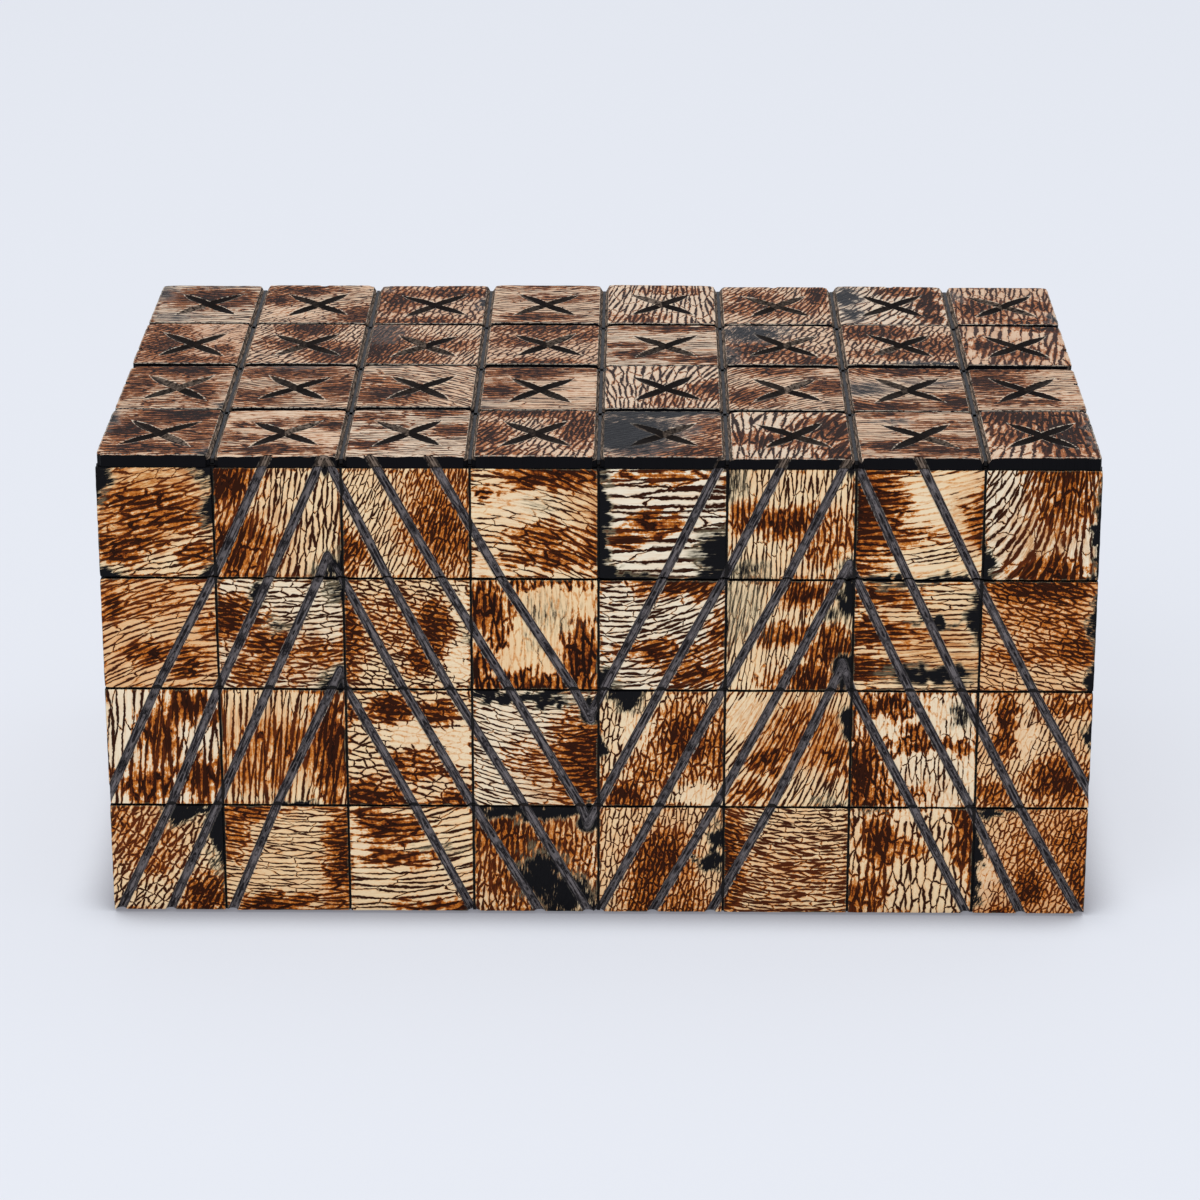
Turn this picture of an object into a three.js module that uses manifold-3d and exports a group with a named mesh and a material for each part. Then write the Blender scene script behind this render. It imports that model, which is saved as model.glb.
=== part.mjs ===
// Storage box with a hinged lid, clad in scorched bone tiles on a wooden carcass.
// Millimetres, +Z up, front towards -Y. The origin is under the middle of the box, on the table.
import * as THREE from 'three';
import { mergeVertices } from 'three/addons/utils/BufferGeometryUtils.js';
import Module from 'manifold-3d';

const wasm = await Module();
wasm.setup();

// Overall sizes: tile courses are listed from the table up
const boxWidth = 203.2;
const boxDepth = 127;
const baseCourses = [24.4, 25.9, 24.2];
const lidCourse = 23.7;

// Tiling of the faces
const frontColumns = 8;
const endColumnWidth = 23.6;
const sideColumns = 5;
const topRows = 4;
const bedThickness = 0.5;
const tileThickness = 2.3;
const tileJoint = 0.5;
const tileEdge = 0.3;
const footGap = 0.5;

// Carving: chevron channels on the walls, straight channels and crosses on the top
const channelWidth = 2.2;
const channelFloor = 1;
const channelDepth = 1.1;
const topChannelWidth = 1.9;
const crossLength = 19;
const crossWidth = 1.9;
const crossDepth = 0.9;

// Wooden carcass and felt
const wallThickness = 7;
const topBoardThickness = 5;
const bottomBoardThickness = 5;
const liningThickness = 1;
const padThickness = 1;
const padInset = 3;
const rimReveal = 0.6;

// Clearances
const seat = 0.05;
const seamGap = 0.3;
const runningGap = 0.25;
const recessGap = 0.3;

// Butt hinges, let into the back seam
const openAngle = 100;
const hingeInset = 42.6;
const hingeLength = 25;
const knuckles = 5;
const barrelRadius = 1.9;
const barrelInset = 0.2;
const pinRadius = 0.85;
const pinHeadRadius = 1.5;
const pinHeadLength = 0.7;
const leafThickness = 0.9;
const leafReach = 6.8;
const screwSpacing = 15;
const screwLength = 6.5;
const screwRadius = 0.75;
const screwHeadRadius = 1.4;
const barrelSides = 16;
const pinSides = 12;
const screwSides = 8;

// Sizes that follow from the ones above
const cladding = bedThickness + tileThickness;
const seamHeight = baseCourses.reduce((sum, course) => sum + course, 0);
const topOfWalls = seamHeight + lidCourse;
const boxHeight = topOfWalls + cladding;
const rimTop = seamHeight - seamGap / 2;
const lidBottom = seamHeight + seamGap / 2;
const woodX = boxWidth / 2 - cladding - seat;
const woodY = boxDepth / 2 - cladding - seat;
const innerX = woodX - wallThickness;
const innerY = woodY - wallThickness;
const floorTop = padThickness + bottomBoardThickness;
const ceiling = topOfWalls - topBoardThickness;
const pinY = boxDepth / 2 - barrelRadius - barrelInset;
const overrun = 1;

const finishes = {
  bone: { color: 0xd2ae84, roughness: 0.38, metalness: 0 },
  wood: { color: 0x8a5d3a, roughness: 0.6, metalness: 0 },
  felt: { color: 0x2a2320, roughness: 0.95, metalness: 0 },
  brass: { color: 0xb08a45, roughness: 0.35, metalness: 1 },
};

// Closed geometry to solid and back
function solidOf(geometry) {
  const bare = geometry.clone();
  bare.deleteAttribute('normal');
  bare.deleteAttribute('uv');
  const merged = mergeVertices(bare, 1e-4);
  const mesh = new wasm.Mesh({
    numProp: 3,
    vertProperties: new Float32Array(merged.attributes.position.array),
    triVerts: new Uint32Array(merged.index.array),
  });
  mesh.merge();
  return new wasm.Manifold(mesh);
}

function geometryOf(solid) {
  const mesh = solid.getMesh();
  const geometry = new THREE.BufferGeometry();
  geometry.setAttribute('position', new THREE.BufferAttribute(mesh.vertProperties, 3));
  geometry.setIndex(new THREE.BufferAttribute(mesh.triVerts, 1));
  geometry.computeVertexNormals();
  return geometry;
}

function join(geometries) {
  return geometryOf(geometries.map(solidOf).reduce((whole, piece) => whole.add(piece)));
}

function carve(geometry, cutters) {
  return geometryOf(solidOf(geometry).subtract(solidOf(join(cutters))));
}

// Basic shapes, placed by their lowest and highest corners or by their axis
function block(low, high) {
  const size = high.map((value, axis) => value - low[axis]);
  return new THREE.BoxGeometry(...size).translate(...low.map((value, axis) => value + size[axis] / 2));
}

function prismAlongX(outline, length) {
  const section = new THREE.Shape(outline.map(([y, z]) => new THREE.Vector2(y, z)));
  const geometry = new THREE.ExtrudeGeometry(section, { depth: length, bevelEnabled: false });
  geometry.translate(0, 0, -length / 2);
  return geometry.rotateY(Math.PI / 2).rotateX(Math.PI / 2);
}

function lathe(profile, sides) {
  return new THREE.LatheGeometry(profile.map(([radius, along]) => new THREE.Vector2(radius, along)), sides);
}

function rodAlongX(radius, from, to, y, z, sides) {
  const rod = lathe([[0, from], [radius, from], [radius, to], [0, to]], sides);
  return rod.rotateZ(-Math.PI / 2).translate(0, y, z);
}

function named(name, geometry, finish) {
  const mesh = new THREE.Mesh(geometry, new THREE.MeshStandardMaterial(finish));
  mesh.name = name;
  return mesh;
}

// Positions on a clad face, counted in tiles: columns from its left edge, courses down from the top
function evenEdges(width, count) {
  return Array.from({ length: count + 1 }, (_, index) => width * (index / count - 0.5));
}

const frontEdges = [
  -boxWidth / 2,
  ...evenEdges(boxWidth - 2 * endColumnWidth, frontColumns - 2),
  boxWidth / 2,
];
const sideEdges = evenEdges(boxDepth - 2 * (cladding + seat), sideColumns);
const rowEdges = evenEdges(boxDepth, topRows);
const courseLevels = [boxHeight, seamHeight, baseCourses[0] + baseCourses[1], baseCourses[0], 0];

function between(marks, position) {
  const index = Math.min(Math.floor(position), marks.length - 2);
  return marks[index] + (position - index) * (marks[index + 1] - marks[index]);
}

// A strip of tiles on one bed of black mastic. It is drawn lying flat: X along the strip, Y across it
// and Z out of the face, with the back of the bed at Z = 0.
function tile(left, right, low, high) {
  const width = right - left;
  const height = high - low;
  const body = new THREE.BoxGeometry(width, height, cladding - seat, 1, 1, 2);
  const corners = body.attributes.position;
  for (let index = 0; index < corners.count; index += 1) {
    if (corners.getZ(index) > seat) {
      corners.setX(index, Math.sign(corners.getX(index)) * (width / 2 - tileEdge));
      corners.setY(index, Math.sign(corners.getY(index)) * (height / 2 - tileEdge));
    } else if (corners.getZ(index) > -seat) {
      corners.setZ(index, (cladding - seat) / 2 - tileEdge);
    }
  }
  return body.translate((left + right) / 2, (low + high) / 2, (cladding + seat) / 2);
}

function tileStrip(edges, course) {
  const { low, high, jointBelow, jointAbove } = course;
  const pieces = [block([edges[0], low, 0], [edges.at(-1), high, bedThickness])];
  const bottom = low + (jointBelow ? tileJoint / 2 : 0);
  const top = high - (jointAbove ? tileJoint / 2 : 0);
  for (let column = 0; column + 1 < edges.length; column += 1) {
    const left = edges[column] + (column > 0 ? tileJoint / 2 : 0);
    const right = edges[column + 1] - (column + 2 < edges.length ? tileJoint / 2 : 0);
    pieces.push(tile(left, right, bottom, top));
  }
  return join(pieces);
}

// A flat-bottomed channel between two points of a face, open towards the viewer
function channel(from, to, width) {
  const length = Math.hypot(to[0] - from[0], to[1] - from[1]) + width;
  const flare = (overrun * (width - channelFloor)) / (2 * channelDepth);
  const section = new THREE.Shape([
    new THREE.Vector2(-channelFloor / 2, cladding - channelDepth),
    new THREE.Vector2(channelFloor / 2, cladding - channelDepth),
    new THREE.Vector2(width / 2 + flare, cladding + overrun),
    new THREE.Vector2(-width / 2 - flare, cladding + overrun),
  ]);
  const geometry = new THREE.ExtrudeGeometry(section, { depth: length, bevelEnabled: false });
  geometry.translate(0, 0, -width / 2).rotateX(Math.PI / 2);
  geometry.rotateZ(Math.atan2(to[1] - from[1], to[0] - from[0]) + Math.PI / 2);
  return geometry.translate(from[0], from[1], 0);
}

// Chevrons: from a peak on a column joint, parallel channels run down half a tile per course. Those with
// a negative number start on the top edge beside the peak, the others one course lower each.
function chevrons(edges, peak, heading, limit, first, last) {
  const lines = [];
  for (let number = first; number <= last; number += 1) {
    const startColumn = peak + (heading * Math.max(-number, 0)) / 2;
    const startCourse = Math.max(number, 0);
    const courses = Math.min(courseLevels.length - 1 - startCourse, 2 * Math.abs(limit - startColumn));
    const endColumn = startColumn + (heading * courses) / 2;
    lines.push(channel(
      [between(edges, startColumn), between(courseLevels, startCourse)],
      [between(edges, endColumn), between(courseLevels, startCourse + courses)],
      channelWidth,
    ));
  }
  return lines;
}

// The four walls of tiles. Each is drawn as seen from outside, with X to the right and Y up.
const wideWall = [
  ...chevrons(frontEdges, frontColumns / 4, -1, 0, -1, 2),
  ...chevrons(frontEdges, frontColumns / 4, 1, frontColumns / 2, -2, 2),
  ...chevrons(frontEdges, (3 * frontColumns) / 4, -1, frontColumns / 2, -2, 2),
  ...chevrons(frontEdges, (3 * frontColumns) / 4, 1, frontColumns, -1, 2),
];
const narrowWall = [
  ...chevrons(sideEdges, sideColumns / 2, -1, 0, -1, 2),
  ...chevrons(sideEdges, sideColumns / 2, 1, sideColumns, -1, 2),
];
const walls = {
  front: { turn: 0, distance: boxDepth / 2, edges: frontEdges, carving: wideWall },
  right: { turn: Math.PI / 2, distance: boxWidth / 2, edges: sideEdges, carving: narrowWall },
  back: { turn: Math.PI, distance: boxDepth / 2, edges: frontEdges, carving: wideWall },
  left: { turn: -Math.PI / 2, distance: boxWidth / 2, edges: sideEdges, carving: narrowWall },
};

function wallFrame(wall) {
  const frame = new THREE.Group();
  frame.rotation.set(Math.PI / 2, 0, wall.turn, 'ZYX');
  const reach = wall.distance - cladding;
  frame.position.set(reach * Math.sin(wall.turn), -reach * Math.cos(wall.turn), 0);
  frame.updateMatrixWorld(true);
  return frame;
}

// Butt hinge pieces, drawn about the pin: X along it, Y towards the back, Z up
const knucklePitch = (hingeLength + runningGap) / knuckles;
const screwY = -(leafReach + barrelRadius + recessGap) / 2;
const screwPlaces = [-screwSpacing / 2, screwSpacing / 2];
const pinLength = hingeLength + 2 * runningGap;

function leaf(side) {
  const faces = [side * (seamGap / 2), side * (seamGap / 2 + leafThickness)].sort((a, b) => a - b);
  const plateEnd = -barrelRadius - recessGap;
  const pieces = [block([-hingeLength / 2, -leafReach, faces[0]], [hingeLength / 2, plateEnd, faces[1]])];
  for (let knuckle = side > 0 ? 1 : 0; knuckle < knuckles; knuckle += 2) {
    const start = -hingeLength / 2 + knuckle * knucklePitch;
    const end = start + knucklePitch - runningGap;
    pieces.push(block([start, plateEnd - seat, faces[0]], [end, 0, faces[1]]));
    pieces.push(rodAlongX(barrelRadius, start, end, 0, 0, barrelSides));
  }
  const bore = rodAlongX(pinRadius + runningGap, -hingeLength, hingeLength, 0, 0, pinSides);
  return carve(join(pieces), [bore, ...screwPlaces.map((x) => screwHole(x, side, runningGap))]);
}

// A countersunk screw on the leaf's open face, which is at Z = 0, with its tip along -Z. With a gap it is
// the hole that the screw goes through.
function screw(gap) {
  const shank = screwRadius + gap;
  const head = screwHeadRadius + gap;
  const profile = [
    [0, -screwLength - gap],
    [shank, -screwLength + 2 * screwRadius],
    [shank, -leafThickness],
    [head, -seat + gap],
    [0, -seat + gap],
  ];
  return lathe(profile, screwSides).rotateX(Math.PI / 2);
}

function onLeaf(geometry, x, side) {
  if (side > 0) geometry.rotateX(Math.PI);
  return geometry.translate(x, screwY, side * (seamGap / 2));
}

function screwHole(x, side, gap) {
  return onLeaf(screw(gap), x, side);
}

function hingePin() {
  const shoulder = pinLength / 2;
  const end = shoulder + pinHeadLength;
  const dome = pinHeadRadius - pinHeadLength / 2;
  const half = [[pinRadius, shoulder], [pinHeadRadius, shoulder], [pinHeadRadius, end - pinHeadLength / 2]];
  const profile = [...half, [dome, end], [0, end]];
  const mirrored = profile.map(([radius, along]) => [radius, -along]).reverse();
  return lathe([...mirrored, ...profile], pinSides).rotateZ(-Math.PI / 2);
}

// What the hinges need cut away around them, in the box's own frame
const hingePlaces = { left: hingeInset - boxWidth / 2, right: boxWidth / 2 - hingeInset };

function hingeRecesses(side) {
  const cutters = [];
  const barrelRecess = barrelRadius + recessGap;
  const half = pinLength / 2 + pinHeadLength + recessGap;
  const mortiseHalf = hingeLength / 2 + recessGap;
  const mortise = [side * -overrun, side * (seamGap / 2 + leafThickness + seat)].sort((a, b) => a - b);
  for (const x of Object.values(hingePlaces)) {
    cutters.push(rodAlongX(barrelRecess, x - half, x + half, pinY, seamHeight, barrelSides));
    cutters.push(block(
      [x - mortiseHalf, pinY - leafReach - recessGap, seamHeight + mortise[0]],
      [x + mortiseHalf, pinY, seamHeight + mortise[1]],
    ));
    for (const place of screwPlaces) {
      cutters.push(screwHole(place, side, runningGap).translate(x, pinY, seamHeight));
    }
  }
  return cutters;
}

// The back edges of both rims slope away from the pin, and meet when the lid stands fully open
function rimSlope(side) {
  const reach = barrelRadius + barrelInset + overrun;
  const start = side * (seamGap / 2);
  const rise = reach * Math.tan(THREE.MathUtils.degToRad(openAngle / 2));
  const outline = [[0, start], [reach, start + side * rise], [reach, -side * overrun], [0, -side * overrun]];
  return prismAlongX(outline, boxWidth + 2 * overrun).translate(0, pinY, seamHeight);
}

function wallTiles(side, courses) {
  const group = new THREE.Group();
  for (const [wallName, wall] of Object.entries(walls)) {
    const frame = wallFrame(wall);
    const toFrame = frame.matrixWorld.clone().invert();
    const rear = wallName === 'back' ? [...hingeRecesses(side), rimSlope(side)] : [];
    const cutters = [...wall.carving, ...rear.map((cutter) => cutter.applyMatrix4(toFrame))];
    for (const course of courses) {
      const strip = carve(tileStrip(wall.edges, course), cutters);
      frame.add(named(course.name(wallName), strip, finishes.bone));
    }
    group.add(frame);
  }
  return group;
}

// Base: a felt pad, a bottom board, four walls, their felt lining and three courses of tiles
function base() {
  const group = new THREE.Group();
  const board = (name, low, high) => group.add(named(name, block(low, high), finishes.wood));
  const padX = boxWidth / 2 - cladding - padInset;
  const padY = boxDepth / 2 - cladding - padInset;
  group.add(named('base_felt_pad', block([-padX, -padY, 0], [padX, padY, padThickness - seat]), finishes.felt));
  board('base_bottom_board', [-woodX, -woodY, padThickness], [woodX, woodY, floorTop - seat]);
  board('base_front_board', [-woodX, -woodY, floorTop], [woodX, -innerY, rimTop]);
  board('base_left_board', [-woodX, -innerY + seat, floorTop], [-innerX, innerY - seat, rimTop]);
  board('base_right_board', [innerX, -innerY + seat, floorTop], [woodX, innerY - seat, rimTop]);
  const backBoard = block([-woodX, innerY, floorTop], [woodX, woodY, rimTop]);
  group.add(named('base_back_board', carve(backBoard, hingeRecesses(-1)), finishes.wood));
  group.add(named('base_lining', lining(floorTop, rimTop - rimReveal, 1), finishes.felt));
  const upper = baseCourses[0] + baseCourses[1];
  group.add(wallTiles(-1, [
    { name: (wall) => `base_${wall}_tiles_lower`, low: footGap, high: baseCourses[0], jointAbove: true },
    { name: (wall) => `base_${wall}_tiles_middle`, low: baseCourses[0], high: upper, jointBelow: true, jointAbove: true },
    { name: (wall) => `base_${wall}_tiles_upper`, low: upper, high: rimTop, jointBelow: true },
  ]));
  return group;
}

// A felt tray that lines the inside. It opens upwards in the base and downwards in the lid.
function lining(low, high, opens) {
  const x = innerX - seat;
  const y = innerY - seat;
  const shell = block([-x, -y, low + seat], [x, y, high - seat]);
  const hollowLow = opens > 0 ? low + liningThickness : low - overrun;
  const hollowHigh = opens > 0 ? high + overrun : high - liningThickness;
  const hollowX = x - liningThickness;
  const hollowY = y - liningThickness;
  return carve(shell, [block([-hollowX, -hollowY, hollowLow], [hollowX, hollowY, hollowHigh])]);
}

// Crosses: two tapered gouges along the diagonals of each top tile
function crosses(edges, low, high) {
  const cutters = [];
  for (let column = 0; column + 1 < edges.length; column += 1) {
    const width = edges[column + 1] - edges[column];
    const lean = Math.atan2(high - low, width);
    for (const angle of [lean, -lean]) {
      const gouge = new THREE.OctahedronGeometry(1).scale(crossLength / 2, crossWidth / 2, crossDepth);
      const middle = [edges[column] + width / 2, (low + high) / 2];
      cutters.push(gouge.rotateZ(angle).translate(...middle, cladding));
    }
  }
  return cutters;
}

// The top: rows of tiles laid over the walls, whose front edges show as a dark band
function topTiles() {
  const group = new THREE.Group();
  group.position.z = topOfWalls;
  const straight = frontEdges.slice(1, -1).map((x) => (
    channel([x, -boxDepth / 2], [x, boxDepth / 2], topChannelWidth)
  ));
  const edges = Object.values(walls).flatMap((wall) => wall.carving.map((cutter) => (
    cutter.clone().applyMatrix4(wallFrame(wall).matrixWorld).translate(0, 0, -topOfWalls)
  )));
  for (let row = 0; row < topRows; row += 1) {
    const [low, high] = [rowEdges[row], rowEdges[row + 1]];
    const strip = tileStrip(frontEdges, { low, high, jointBelow: row > 0, jointAbove: row + 1 < topRows });
    const carved = carve(strip, [...straight, ...edges, ...crosses(frontEdges, low, high)]);
    group.add(named(`lid_top_tiles_row_${row + 1}`, carved, finishes.bone));
  }
  return group;
}

// Lid: a top board on four rails, its lining, one course of wall tiles and the top tiles
function lid() {
  const group = new THREE.Group();
  const board = (name, low, high) => group.add(named(name, block(low, high), finishes.wood));
  const railTop = ceiling - seat;
  board('lid_top_board', [-woodX, -woodY, ceiling], [woodX, woodY, topOfWalls - seat]);
  board('lid_front_rail', [-woodX, -woodY, lidBottom], [woodX, -innerY, railTop]);
  board('lid_left_rail', [-woodX, -innerY + seat, lidBottom], [-innerX, innerY - seat, railTop]);
  board('lid_right_rail', [innerX, -innerY + seat, lidBottom], [woodX, innerY - seat, railTop]);
  const backRail = block([-woodX, innerY, lidBottom], [woodX, woodY, railTop]);
  group.add(named('lid_back_rail', carve(backRail, hingeRecesses(1)), finishes.wood));
  group.add(named('lid_lining', lining(lidBottom + rimReveal, ceiling, -1), finishes.felt));
  group.add(wallTiles(1, [
    { name: (wall) => `lid_${wall}_tiles`, low: lidBottom, high: topOfWalls - seat },
  ]));
  group.add(topTiles());
  return group;
}

// Hinges: two leaves, a headed pin and four screws each
function hinge(name, x) {
  const group = new THREE.Group();
  group.position.set(x, pinY, seamHeight);
  group.add(named(`hinge_${name}_base_leaf`, leaf(-1), finishes.brass));
  group.add(named(`hinge_${name}_lid_leaf`, leaf(1), finishes.brass));
  group.add(named(`hinge_${name}_pin`, hingePin(), finishes.brass));
  for (const [part, side] of [['base', -1], ['lid', 1]]) {
    screwPlaces.forEach((place, index) => {
      const piece = onLeaf(screw(0), place, side);
      group.add(named(`hinge_${name}_${part}_screw_${index + 1}`, piece, finishes.brass));
    });
  }
  return group;
}

const box = new THREE.Group();
box.add(base(), lid());
for (const [name, x] of Object.entries(hingePlaces)) box.add(hinge(name, x));

export default box;
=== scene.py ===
"""Looks of a storage box clad in scorched bone tiles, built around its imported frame.

Tile shapes are worked out in millimetres, flat, and then stood on their face of the box. On a wall, X runs
to the right as seen from outside, Y runs up from the table and Z runs out of the face.
"""

import logging
import math
from collections.abc import Callable, Sequence
from dataclasses import dataclass, field
from enum import Enum

import bpy
import numpy as np
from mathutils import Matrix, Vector


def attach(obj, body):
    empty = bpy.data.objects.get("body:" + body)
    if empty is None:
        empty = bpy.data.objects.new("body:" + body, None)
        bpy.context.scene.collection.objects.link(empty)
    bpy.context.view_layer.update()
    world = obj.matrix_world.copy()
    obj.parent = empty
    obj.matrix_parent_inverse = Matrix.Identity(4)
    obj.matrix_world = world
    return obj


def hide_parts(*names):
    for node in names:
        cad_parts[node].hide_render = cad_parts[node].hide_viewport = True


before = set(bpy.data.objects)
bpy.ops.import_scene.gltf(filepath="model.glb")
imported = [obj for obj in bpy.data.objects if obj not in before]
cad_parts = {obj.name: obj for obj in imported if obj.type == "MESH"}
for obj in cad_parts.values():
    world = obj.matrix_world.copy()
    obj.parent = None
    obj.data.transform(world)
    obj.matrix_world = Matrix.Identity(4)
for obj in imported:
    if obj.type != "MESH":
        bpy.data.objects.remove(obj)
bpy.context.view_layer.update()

log = logging.getLogger("box")

MILLIMETRE = 0.001

# Sizes in millimetres, and heights above the table
BOX_WIDTH = 203.2
BOX_DEPTH = 127.0
BOX_HEIGHT = 101.0
SEAM_HEIGHT = 74.5
LEVELS = (BOX_HEIGHT, SEAM_HEIGHT, 50.3, 24.4, 0.0)
TOP_OF_WALLS = 98.2
SEAM_GAP = 0.3
FOOT_GAP = 0.5
CLADDING = 2.8
BED = 0.5
JOINT = 0.32
FILLER_HALF = 0.35
SEAT = 0.05
FRONT_COLUMNS = 8
COURSE_COUNT = 4
SIDES = ("low", "right", "high", "left")

# Distance to a groove, in half widths, where there is none near
UNTOUCHED = 9.0

Array = np.ndarray
Piece = bpy.types.Object
Material = bpy.types.Material
Point = tuple[float, float]
Triple = tuple[float, float, float]
Colour = Triple
Numbers = tuple[float, ...]
Edges = tuple[float, float, float, float]
Pair = tuple[Array, Array]
Marks = dict[str, Array]
Placing = Callable[[Array], Array]
Lines = Sequence[tuple[Point, ...]]
Materials = Sequence[Material]
Settings = dict[str, object]
Inputs = dict[int | str, object]


def srgb(red: int, green: int, blue: int) -> Colour:
    """Linear colour of a screen colour given as 0 to 255."""
    parts = (value / 255 for value in (red, green, blue))
    return tuple(p / 12.92 if p <= 0.04045 else ((p + 0.055) / 1.055) ** 2.4 for p in parts)


# Looks of single tiles


class Kind(Enum):
    """What a patch on a tile does to the bone."""

    BURN = "burn"
    GOLD = "gold"
    SOOT = "soot"
    PLAIN = "plain"


@dataclass(frozen=True)
class TileLook:
    """How one tile was scorched.

    The crackle runs at an angle in degrees, rising to the right, and turns by fan from the left edge to
    the right one. A cell is so many millimetres wide, and stretch times as long. Its cracks are wider by the
    share bold. A patch is a soft oval: its place across and down from the tile's top left corner, its half
    width, its half height and its strength, in shares of the tile.
    """

    angle: float
    cell: float
    stretch: float
    crack: float
    patches: dict[Kind, list[Numbers]]
    fan: float
    warm: float
    bold: float


def look(
    angle: float, cell: float, stretch: float, crack: float, fan: float = 0.0, warm: float = 0.3,
    bold: float = 0.0, **ovals: list[Numbers]
) -> TileLook:
    """A tile look. Its ovals are listed by kind, in hundredths, and one without a strength has all of it."""
    patches = {Kind(kind): [tuple(part / 100 for part in (*oval, 100)[:5]) for oval in listed]
               for kind, listed in ovals.items()}
    return TileLook(angle, cell, stretch, crack, patches, fan, warm, bold)


def in_rows(*looks: TileLook) -> list[tuple[TileLook, ...]]:
    """The looks in rows of as many as the front has columns."""
    return [looks[first:first + FRONT_COLUMNS] for first in range(0, len(looks), FRONT_COLUMNS)]


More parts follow.
